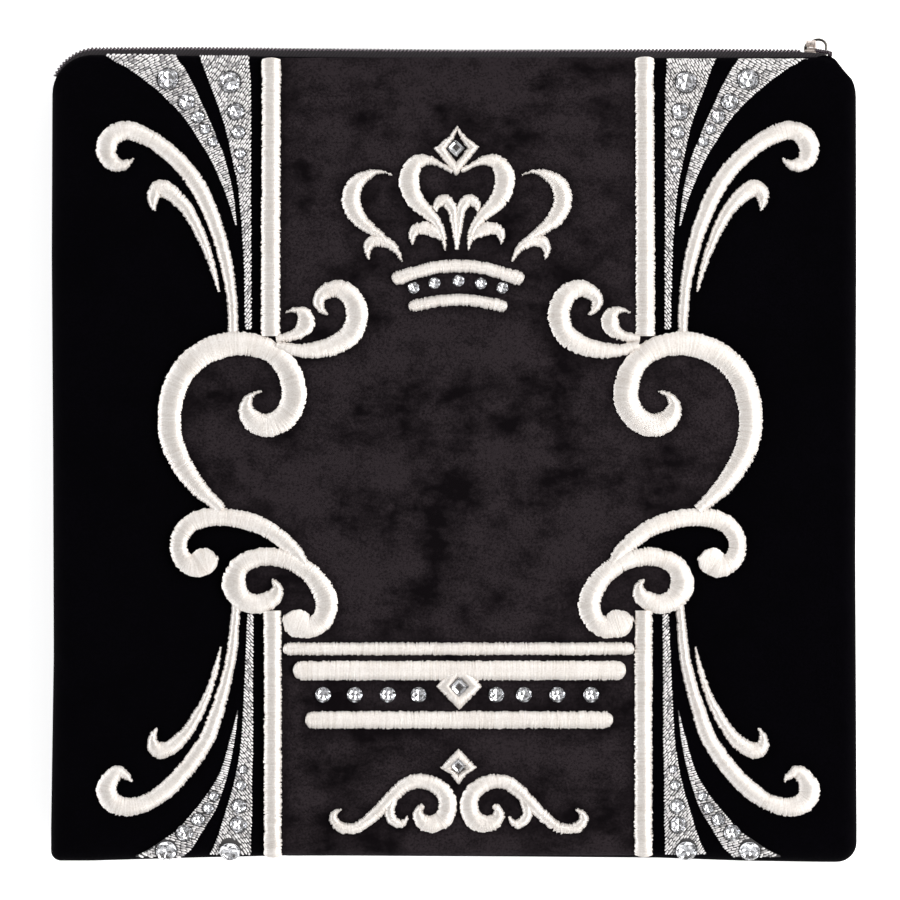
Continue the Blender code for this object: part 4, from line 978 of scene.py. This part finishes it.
def fan_threads(name, node, rows, angle, stones):
    """Silver threads of a fan, thick in the middle of each stitch, so that dark gaps show between them."""
    runs, direction, normal = fan_runs(rows, angle, stones)
    points, faces, tones = [], [], []
    wide, tall = len(THREAD_SHAPE), len(THREAD_ARC)
    pattern = tube_faces(wide, tall)
    for offset, first, last in runs:
        cuts = np.arange(first - THREAD_LENGTH * RANDOM.uniform(0.0, 1.0), last, THREAD_LENGTH)
        cuts = [c for c in cuts if first + SHORTEST_STITCH < c < last - SHORTEST_STITCH]
        for start, end in zip([first] + cuts, cuts + [last]):
            width = THREAD_WIDTH * RANDOM.uniform(*WIDTH_SPREAD)
            shift = RANDOM.normal(0.0, THREAD_SHIFT)
            rise = THREAD_RISE * RANDOM.uniform(*RISE_SPREAD)
            lean = RANDOM.normal(0.0, THREAD_LEAN)
            faces += [[len(points) + k for k in face] for face in pattern]
            for t, share, up in THREAD_SHAPE:
                s = start + THREAD_GAP + (end - start - 2 * THREAD_GAP) * t
                for across, over in THREAD_ARC:
                    side = offset + shift + lean * (t - 0.5) + across * width * share / 2
                    high = over * rise * (END_RISE + (1 - END_RISE) * up)
                    points.append((*(direction * s + normal * side), high))
            tones += [RANDOM.uniform(0.0, 1.0)] * (wide * tall)
    places = np.array(points)
    cut = read(TOP_HEM, places[:, 0]) - read(HEM_CUT, places[:, 0])
    places[:, 1] = np.minimum(places[:, 1], cut)
    lifted = raised(places[:, :2], ON_PANEL + GROUND_RISE - THREAD_SINK + places[:, 2])
    thing = make_piece(name, lifted, faces, ["metal_thread"], "silver_thread", [node])
    point_values(thing, "tone", tones)
    point_values(thing, "thread", [(*direction, 0.0)] * len(points))


def fan_ground(name, node, rows):
    """Dark cloth under the threads."""
    path = smooth_path([(y, 0.0, left, right) for y, left, right in rows])
    columns = GROUND_COLUMNS
    heights = np.array([-GROUND_SINK] * columns + [ON_PANEL + GROUND_RISE] * columns)
    sections = []
    for y, _, left, right in path[::GROUND_SKIP]:
        inset = min(GROUND_INSET, (right - left) * GROUND_INSET_SHARE)
        xs = np.linspace(left + inset, right - inset, columns)
        middle = xs[columns // 2]
        if y > read(TOP_HEM, middle) - read(HEM_CUT, middle) - HEM_MARGIN:
            continue
        xy = np.column_stack([np.concatenate([xs, xs[::-1]]), np.full(2 * columns, y)])
        sections.append(raised(xy, heights))
    points = np.concatenate(sections)
    faces = tube_faces(len(sections), 2 * columns)
    make_piece(name, points, faces, ["ground"], "silver_thread", [node], sharp=SHARP)


def stone_frame(x, y, base):
    """Middle of a stone's foot, and its right, up and outward directions."""
    centre = raised(np.array([x, y], float), base)
    normal = raised(np.array([x, y], float), base + 1.0) - centre
    normal /= np.linalg.norm(normal)
    right = np.array([1.0, 0.0, 0.0]) - normal * normal[0]
    right /= np.linalg.norm(right)
    return centre, right, np.cross(normal, right), normal


def ring(count, radius, z, turn=0.0):
    angles = 2 * math.pi * (np.arange(count) + turn) / count
    return [(radius * math.cos(a), radius * math.sin(a), z) for a in angles]


def round_cut(diameter):
    """Brilliant cut with a foiled back: points, faces, and which faces are foil."""
    r, h = diameter / 2, diameter * STONE_HEIGHT
    points = ring(8, r * TABLE, h, 0.5) + ring(8, r * CROWN_FACETS[0], h * CROWN_FACETS[1])
    points += ring(16, r, h * GIRDLE[0]) + ring(16, r, h * GIRDLE[1])
    foil_ring = ring(8, r * FOIL_RADIUS, 0.0, 0.5)
    points += [(x, y, h * FOIL_STEPS[k % 2]) for k, (x, y, _) in enumerate(foil_ring)]
    points += [(0.0, 0.0, h * FOIL_MIDDLE)]
    table, middle, girdle, lower, back, tip = 0, 8, 16, 32, 48, 56
    glass, foil = [list(range(8))], []
    for k in range(8):
        after = (k + 1) % 8
        star = middle + after
        glass.append([table + k, table + after, star])
        glass.append([table + k, middle + k, girdle + (2 * k + 1) % 16])
        glass.append([table + k, girdle + (2 * k + 1) % 16, star])
        glass.append([middle + k, girdle + 2 * k, girdle + (2 * k + 1) % 16])
        glass.append([star, girdle + (2 * k + 1) % 16, girdle + (2 * k + 2) % 16])
        foil.append([lower + 2 * k, lower + (2 * k + 1) % 16, back + k])
        foil.append([lower + (2 * k + 1) % 16, lower + (2 * k + 2) % 16, back + k])
        foil.append([lower + (2 * k + 2) % 16, back + after, back + k])
        foil.append([back + k, back + after, tip])
    for k in range(16):
        after = (k + 1) % 16
        glass.append([girdle + k, lower + k, lower + after, girdle + after])
    return points, glass, foil


def square_cut(reach):
    """Step-cut square stone on its corner with a foiled back."""
    points = [p for size, up in SQUARE_TIERS for p in ring(4, reach * size, reach * up)]
    last = len(SQUARE_TIERS) - 1
    glass, foil = [[0, 1, 2, 3]], [list(range(4 * last, 4 * last + 4))]
    for row in range(last):
        for k in range(4):
            after = (k + 1) % 4
            face = [row * 4 + k, row * 4 + after, row * 4 + 4 + after, row * 4 + 4 + k]
            (glass if row < GLASS_TIERS else foil).append(face)
    return points, glass, foil


def stones(name, cuts, nodes, turn=True):
    """Several stones as one piece; a cut is its shape, x, y and the height of its foot."""
    points, faces, picks = [], [], []
    for (shape, glass, foil), x, y, base in cuts:
        centre, right, up, normal = stone_frame(x, y, base)
        spin = RANDOM.uniform(0.0, math.pi / 2) if turn else 0.0
        first = right * math.cos(spin) + up * math.sin(spin)
        second = up * math.cos(spin) - right * math.sin(spin)
        turned = [centre + first * px + second * py + normal * pz for px, py, pz in shape]
        faces += [[len(points) + k for k in face] for face in glass + foil]
        picks += [0] * len(glass) + [1] * len(foil)
        points += turned
    make_piece(name, points, faces, ["glass", "foil"], "rhinestone", nodes, picks=picks)


def fans():
    for key, rows in FANS.items():
        for side, turned in (("left", False), ("right", True)):
            node = f"fan_{key}_{side}"
            edges = [(y, -right, -left) for y, left, right in rows] if turned else rows
            gems = mirrored(FAN_STONES[key]) if turned else FAN_STONES[key]
            angle = math.radians(FAN_ANGLES[key])
            fan_ground(f"{node}_ground", node, edges)
            fan_threads(f"{node}_threads", node, edges, math.pi - angle if turned else angle, gems)
            cuts = [(round_cut(diameter), x, y, ON_PANEL + STONE_RISE) for x, y, diameter in gems]
            stones(f"{node}_stones", cuts, [node])


def loose_stones():
    cuts = [(round_cut(d), x, y, ON_CLOTH - GAP) for x, y, d in CROWN_STONES]
    stones("crown_stones", cuts, [f"crown_stone_{i + 1}" for i in range(len(CROWN_STONES))])
    cuts = [(round_cut(BASE_STONE), x, BASE_STONES_Y, ON_CLOTH - GAP) for x in BASE_STONES_X]
    stones("base_stones", cuts, [f"base_stone_{i + 1}" for i in range(len(BASE_STONES_X))])
    for key, (node, x, y, reach, base) in SQUARE_STONES.items():
        stones(f"{key}_square", [(square_cut(reach), x, y, base - SQUARE_SINK)], [node], turn=False)


# Velvet body

def outline():
    """Edge of the panels, anticlockwise from the lower left corner."""
    corners = [("bottom_left", -1, -1, 180), ("bottom_right", 1, -1, 270), ("top_right", 1, 1, 0),
               ("top_left", -1, 1, 90)]
    arcs = []
    for name, side, end, start in corners:
        radius = CORNER_RADIUS[name]
        corner_y = end * (HALF_SIZE - radius)
        corner_x = read(RIGHT_EDGE if side > 0 else LEFT_EDGE, corner_y) - side * radius
        corner_y = read(TOP_HEM if end > 0 else BOTTOM_EDGE, corner_x) - end * radius
        degrees = start + np.linspace(0, 90, ARC_STEPS)
        angles = np.radians(degrees)
        if name == "top_right":
            radius = radius + read(SHOULDER, degrees)
        arcs.append(np.column_stack([corner_x + radius * np.cos(angles),
                                     corner_y + radius * np.sin(angles)]))
    loop = []
    for i, arc in enumerate(arcs):
        loop.append(arc)
        after = arcs[(i + 1) % 4][0]
        t = np.linspace(0, 1, SIDE_STEPS + 2)[1:-1, None]
        run = arc[-1] + (after - arc[-1]) * t
        if i % 2 == 0:
            run[:, 1] = read(TOP_HEM if i == 2 else BOTTOM_EDGE, run[:, 0])
        else:
            run[:, 0] = read(RIGHT_EDGE if i == 1 else LEFT_EDGE, run[:, 1])
        loop.append(run)
    return np.vstack(loop)


def press_tree():
    """Search tree of the points along the edges of all satin."""
    points = np.vstack([edge for pair in STROKES for edge in pair])
    tree = kdtree.KDTree(len(points))
    for i, (x, y) in enumerate(points):
        tree.insert((x, y, 0.0), i)
    tree.balance()
    return tree


def stroke_distance(tree, xy):
    return np.array([tree.find((x, y, 0.0))[2] for x, y in xy])


def panel(name, node, back, tree):
    """Domed velvet shell of the bag, tucked in at the seam."""
    loop = outline()
    count = len(loop)
    middle = np.array([MIDDLE_X, 0.0])
    between = np.arange(EDGE_INSETS[-1] + INSET_STEP, INNER_INSETS[0], INSET_STEP)
    insets = EDGE_INSETS + list(between) + INNER_INSETS
    rings = []
    for inset, up in SEAM_TUCK:
        xy = middle + (loop - middle) * (1 - inset / HALF_SIZE)
        rings.append(np.column_stack([xy, rim_z(loop[:, 1]) + up]))
    for inset in insets:
        xy = middle + (loop - middle) * (1 - inset / HALF_SIZE)
        rings.append(np.column_stack([xy, front_z(xy[:, 0], xy[:, 1])]))
    points = np.vstack(rings)
    stitch_shade = np.zeros(len(points))
    if back:
        points[:, 2] = np.maximum(2 * SEAM_Z - points[:, 2], 0.0)
    else:
        away = stroke_distance(tree, points[:, :2])
        # Painted shade beside the satin, which the velvet's colour reads
        stitch_shade = np.exp(-away / SHADE_REACH)
        inner = np.repeat(np.arange(len(rings)) > len(SEAM_TUCK) + UNPRESSED_RINGS, count)
        points[:, 2] -= PRESS_DEPTH * np.exp(-(away / PRESS_REACH) ** 2) * inner
    faces = grid_faces(len(rings), count, wrap=True)
    faces.append(list(range((len(rings) - 1) * count, len(rings) * count)))
    thing = make_piece(name, points, faces, ["velvet"], "black_velvet", [node])
    point_values(thing, "stitch_shade", stitch_shade)
    thicken(thing, SHELL)


def centre_field(tree):
    """Charcoal velvet sewn on the middle of the front."""
    rows = sorted(FIELD_EDGE)
    ys = np.arange(rows[0][0], rows[-1][0], FIELD_STEP)
    half = np.interp(ys, [r[0] for r in rows], [r[1] for r in rows])
    columns = np.linspace(-1, 1, FIELD_ACROSS)
    across = half[:, None] * columns
    xy = np.stack([across, np.repeat(ys[:, None], FIELD_ACROSS, axis=1)], axis=-1)
    away = stroke_distance(tree, xy.reshape(-1, 2)).reshape(xy.shape[:2])
    points = raised(xy, GAP + CLOTH - PRESS_DEPTH * np.exp(-(away / PRESS_REACH) ** 2))
    faces = grid_faces(len(ys), FIELD_ACROSS)
    thing = make_piece("centre_applique", points.reshape(-1, 3), faces, ["charcoal"], "charcoal_velvet",
                       ["centre_applique"])
    # Painted shade beside the satin, which the velvet's colour reads
    point_values(thing, "stitch_shade", np.exp(-away / SHADE_REACH).ravel())
    thicken(thing, CLOTH)


# Zip

def zip_route(last_x=None):
    """Line of the zip along the top hem: points, outward and onward directions, pull towards the hem."""
    loop = outline()
    run = loop[loop[:, 1] > ZIP_FROM_Y]
    run = run[np.argsort(run[:, 0])]
    length = lengths(run)
    at = np.arange(0.0, length[-1], TAPE_STEP / 2)
    path = between_rows(at, length, run)
    along = directions(path)
    outward = np.column_stack([-along[:, 1], along[:, 0]])
    from_end = np.minimum(at, at[-1] - at)
    pull = read(END_PULL, from_end) + read(SHOULDER_PULL, path[:, 0])
    if last_x is None:
        return path, outward, along, pull
    keep = path[:, 0] < last_x
    return path[keep], outward[keep], along[keep], pull[keep]


def tape(name, node, back):
    path, outward, _, pull = zip_route()
    path, outward, pull = path[::2], outward[::2], pull[::2]
    lower = smooth_path([(*p, 0.0) for p in TAPE_SECTION[:3]])[:, :2]
    upper = smooth_path([(*p, 0.0) for p in TAPE_SECTION[3:]])[:, :2]
    profile = np.vstack([lower[::TAPE_SKIP], upper[::TAPE_SKIP]])
    places = path[:, None] + outward[:, None] * (profile[None, :, :1] - pull[:, None, None])
    z = np.repeat(profile[None, :, 1], len(path), axis=0)
    if back:
        z = 2 * SEAM_Z - z
    points = np.concatenate([places, z[..., None]], axis=-1)
    faces = tube_faces(len(path), len(profile))
    make_piece(name, points.reshape(-1, 3), faces, ["tape"], "zip_tape", [node], sharp=SHARP_ZIP)


def tube(path, radius, sides):
    """Points and faces of a round wire along a path of 3-D points."""
    path = np.asarray(path, float)
    along = directions(path)
    first = np.cross(along[0], (0.0, 0.0, 1.0))
    if np.linalg.norm(first) < 0.1:
        first = np.cross(along[0], (0.0, 1.0, 0.0))
    side = first / np.linalg.norm(first)
    angles = 2 * math.pi * np.arange(sides) / sides
    points = []
    for place, direction in zip(path, along):
        side = side - direction * (side @ direction)
        side /= np.linalg.norm(side)
        other = np.cross(direction, side)
        points += [place + radius * (side * math.cos(a) + other * math.sin(a)) for a in angles]
    return np.array(points), tube_faces(len(path), sides)


def coil_row(name, back, last_x, out):
    """One row of coil teeth: a nylon wire wound in long loops along the zip."""
    path, outward, _, pull = zip_route(last_x)
    length = lengths(path)
    turns = int(length[-1] / COIL_PITCH)
    steps = turns * COIL_TURN_STEPS
    phase = np.arange(steps) / COIL_TURN_STEPS
    at = (phase + (0.5 if back else 0.0)) * COIL_PITCH
    place, outer = between_rows(at, length, path), between_rows(at, length, outward)
    inward = np.interp(at, length, pull)
    depth, height = COIL_LOOP
    turn = 2 * math.pi * phase
    reach = out + depth * np.cos(turn) - inward
    z = SEAM_Z + COIL_Z + height * np.sin(turn)
    if back:
        z = 2 * SEAM_Z - z
    wire = np.column_stack([place + outer * reach[:, None], z])
    make_piece(name, *tube(wire, COIL_WIRE, WIRE_SIDES), ["coil"], "zip_coil", ["zip_coil"])


def coil_end():
    """Coil teeth that show beyond the slider."""
    turn = np.arange(0.0, 2 * math.pi * COIL_END_TURNS, 2 * math.pi / COIL_END_STEPS)
    share = turn / turn[-1]
    (x0, y0), (x1, y1) = COIL_END
    y = y0 + (y1 - y0) * share + COIL_END_LOOP * np.cos(turn)
    wire = np.column_stack([x0 + (x1 - x0) * share, y, SEAM_Z + COIL_END_Z + np.sin(turn)])
    make_piece("zip_coil_end", *tube(wire, COIL_WIRE, WIRE_SIDES), ["coil"], "zip_coil", ["zip_coil"])


def coil_stitches(last_x):
    """Pale sewing thread that crosses each tooth of the front coil; its pale colour also serves as painted
    highlights on the teeth.
    """
    path, outward, along, pull = zip_route(last_x)
    length = lengths(path)
    points, faces = [], []
    for at in np.arange(COIL_PITCH, length[-1] - COIL_PITCH, COIL_PITCH):
        place, out, way = (between_rows(at, length, line)[0] for line in (path, outward, along))
        reach = COIL_OUT["front"] + STITCH_OUT - np.interp(at, length, pull)
        lean = (way + out) * STITCH_REACH
        middle = place + out * reach
        bend = [(*(middle + lean * share), STITCH_Z + up) for share, up in STITCH_BEND]
        stitch, stitch_faces = tube(bend, STITCH_WIRE * RANDOM.uniform(*STITCH_SPREAD), STITCH_SIDES)
        faces += [[len(points) + k for k in face] for face in stitch_faces]
        points += list(stitch)
    make_piece("zip_coil_stitches", points, faces, ["stitches"], "zip_coil", ["zip_coil"])


def rounded_box(low, high, bevel, segments=3):
    """Points and faces of a box with rounded edges."""
    shape = bmesh.new()
    bmesh.ops.create_cube(shape, size=1.0)
    for v in shape.verts:
        v.co = Vector([low[k] if v.co[k] < 0 else high[k] for k in range(3)])
    bmesh.ops.bevel(shape, geom=list(shape.edges), offset=bevel, segments=segments, profile=0.5,
                    affect="EDGES")
    shape.verts.index_update()
    points = np.array([v.co[:] for v in shape.verts])
    faces = [[v.index for v in face.verts] for face in shape.faces]
    shape.free()
    return points, faces


def joined(parts):
    points, faces, start = [], [], 0
    for part, part_faces in parts:
        points.append(np.asarray(part))
        faces += [[start + k for k in face] for face in part_faces]
        start += len(part)
    return np.vstack(points), faces


def barrel(profile, sides, centre):
    """Ring turned round the X axis from a closed profile of x and radius."""
    profile = np.array(profile)
    angles = 2 * math.pi * np.arange(sides) / sides
    points = []
    for a in angles:
        points.append(np.column_stack([centre[0] + profile[:, 0], centre[1] + profile[:, 1] * math.cos(a),
                                       centre[2] + profile[:, 1] * math.sin(a)]))
    return np.vstack(points), grid_faces(sides, len(profile), wrap=True, close=True)


def blocks(rows):
    """Rounded boxes of a table, lifted to the seam."""
    seam = np.array([0.0, 0.0, SEAM_Z])
    return [rounded_box(low + seam, high + seam, bevel) for low, high, bevel in rows]


def slider():
    """Nickel slider: plates, flanges and neck round the coil, and a bridge for the pull in a darker copy of
    the nickel, painted shade.
    """
    arch = smooth_path([(x, y, 0.0) for x, y in ARCH_PATH])[::ARCH_SKIP]
    wire = tube(np.column_stack([arch[:, :2], np.full(len(arch), SEAM_Z)]), ARCH_RADIUS, ARCH_SIDES)
    for name, parts, look in (("zip_slider_body", blocks(SLIDER_BODY), "nickel"),
                              ("zip_slider_bridge", blocks(SLIDER_BRIDGE) + [wire], "dark_nickel")):
        make_piece(name, *joined(parts), [look], "nickel", ["zip_slider"], sharp=SHARP_ZIP)


def tab_mesh(x, y, top):
    """Flat tab with a raised rim on both faces."""
    tab = bmesh.new()
    low = TAB_SIDE[-1][1]
    angles = np.radians(np.linspace(200, 340, TAB_ROUND_POINTS))
    corners = [(-px, pz) for px, pz in TAB_SIDE]
    corners += [(TAB_ROUND * math.cos(a), low + TAB_ROUND * math.sin(a)) for a in angles]
    corners += TAB_SIDE[::-1]
    face = tab.faces.new([tab.verts.new((x + px, y - TAB_THICK / 2, top + pz)) for px, pz in corners])
    bmesh.ops.inset_region(tab, faces=[face], thickness=TAB_RIM, depth=0.0)
    solid = bmesh.ops.extrude_face_region(tab, geom=list(tab.faces))
    for v in [g for g in solid["geom"] if isinstance(g, bmesh.types.BMVert)]:
        v.co.y += TAB_THICK
    tab.normal_update()
    for f in [f for f in tab.faces if abs(f.normal.y) > 0.9 and len(f.verts) > TAB_ROUND_POINTS]:
        away = -TAB_SINK if f.calc_center_median().y > y else TAB_SINK
        bmesh.ops.inset_region(tab, faces=[f], thickness=TAB_SLOPE, depth=0.0)
        for v in f.verts:
            v.co.y += away
    tab.verts.index_update()
    points = np.array([v.co[:] for v in tab.verts])
    faces = [[v.index for v in f.verts] for f in tab.faces]
    tab.free()
    return points, faces


def pull():
    """Pull: a ring round the bridge and the tab that hangs from it."""
    width, bore = RING_BORE
    profile = [(-px, radius) for px, radius in RING_SIDE] + RING_SIDE[::-1] + [(width, bore), (-width, bore)]
    x, y, z = PIVOT
    x += RING_SHIFT
    both = joined([barrel(profile, RING_SIDES, (x, y, z)), tab_mesh(x, y, z - TAB_DROP)])
    make_piece("zip_pull_tab", *both, ["nickel"], "nickel", ["zip_pull"], body="zip_pull", sharp=SHARP)


def zip_parts():
    tape("zip_tape_front_cloth", "zip_tape_front", False)
    tape("zip_tape_back_cloth", "zip_tape_back", True)
    end = SLIDER_X[0] - GAP
    coil_row("zip_coil_front", False, end, COIL_OUT["front"])
    coil_row("zip_coil_back", True, end, COIL_OUT["back"])
    coil_stitches(end)
    coil_end()
    slider()
    pull()
    length, thick, width = STOP_SIZE
    x = SLIDER_X[1] + STOP_GAP
    y = (SLIDER_Y[0] + SLIDER_Y[1]) / 2 - STOP_SINK
    block = rounded_box((x, y - thick / 2, SEAM_Z - width / 2),
                        (x + length, y + thick / 2, SEAM_Z + width / 2), STOP_BEVEL)
    make_piece("zip_stop_end", *block, ["coil"], "zip_coil", ["zip_stop"], sharp=SHARP)


# Stage

def softbox(name, place, size, power, colour):
    lamp = bpy.data.lights.new(name, "AREA")
    lamp.shape = "RECTANGLE"
    lamp.size, lamp.size_y = size
    lamp.energy = power
    lamp.color = colour
    thing = bpy.data.objects.new(name, lamp)
    thing.location = place
    thing.rotation_mode = "QUATERNION"
    thing.rotation_quaternion = (-Vector(place)).to_track_quat("-Z", "Y")
    thing.visible_camera = False
    bpy.context.scene.collection.objects.link(thing)


def stage():
    mesh = bpy.data.meshes.new("floor")
    corners = [(x * FLOOR_HALF, y * FLOOR_HALF, 0.0) for x, y in ((-1, -1), (1, -1), (1, 1), (-1, 1))]
    mesh.from_pydata(corners, [], [(0, 1, 2, 3)])
    floor = bpy.data.objects.new("floor", mesh)
    floor.location.z = -FLOOR_DROP
    material, tree, shader = start_material("white_floor", Roughness=0.9)
    tree.links.new(ramp(tree, noise(tree, 3.0), FLOOR_TONES), shader.inputs["Base Color"])
    shader.inputs["Emission Color"].default_value = (1.0, 1.0, 1.0, 1.0)
    shader.inputs["Emission Strength"].default_value = FLOOR_GLOW
    mesh.materials.append(material)
    bpy.context.scene.collection.objects.link(floor)
    for name, row in SOFTBOXES.items():
        softbox(name, *row)
    world = bpy.data.worlds.new("studio")
    bpy.context.scene.world = world
    world.use_nodes = True
    tree = world.node_tree
    place = add(tree, "ShaderNodeTexCoord").outputs["Generated"]
    height = add(tree, "ShaderNodeSeparateXYZ", {"Vector": place}).outputs["Z"]
    background = tree.nodes["Background"]
    tree.links.new(ramp(tree, height, SKY), background.inputs["Color"])
    background.inputs["Strength"].default_value = SKY_STRENGTH


def camera():
    lens = bpy.data.cameras.new("camera")
    lens.lens = LENS
    lens.sensor_width = SENSOR
    lens.clip_end = 40.0
    thing = bpy.data.objects.new("camera", lens)
    away = FRAME_WIDTH * MM / 2 / (SENSOR / 2 / LENS)
    thing.location = (FRAME_CENTRE[0] * MM, FRAME_CENTRE[1] * MM, away + FACE_Z * MM)
    bpy.context.scene.collection.objects.link(thing)
    bpy.context.scene.camera = thing
    bpy.context.scene.view_settings.view_transform = "Standard"
    bpy.context.scene.view_settings.look = "None"


def main():
    make_materials()
    paired(SIDE_STRIPS)
    crown()
    base_row()
    foot()
    fans()
    loose_stones()
    tree = press_tree()
    panel("front_panel_velvet", "front_panel", False, tree)
    panel("back_panel_velvet", "back_panel", True, tree)
    centre_field(tree)
    zip_parts()
    stage()
    camera()


main()
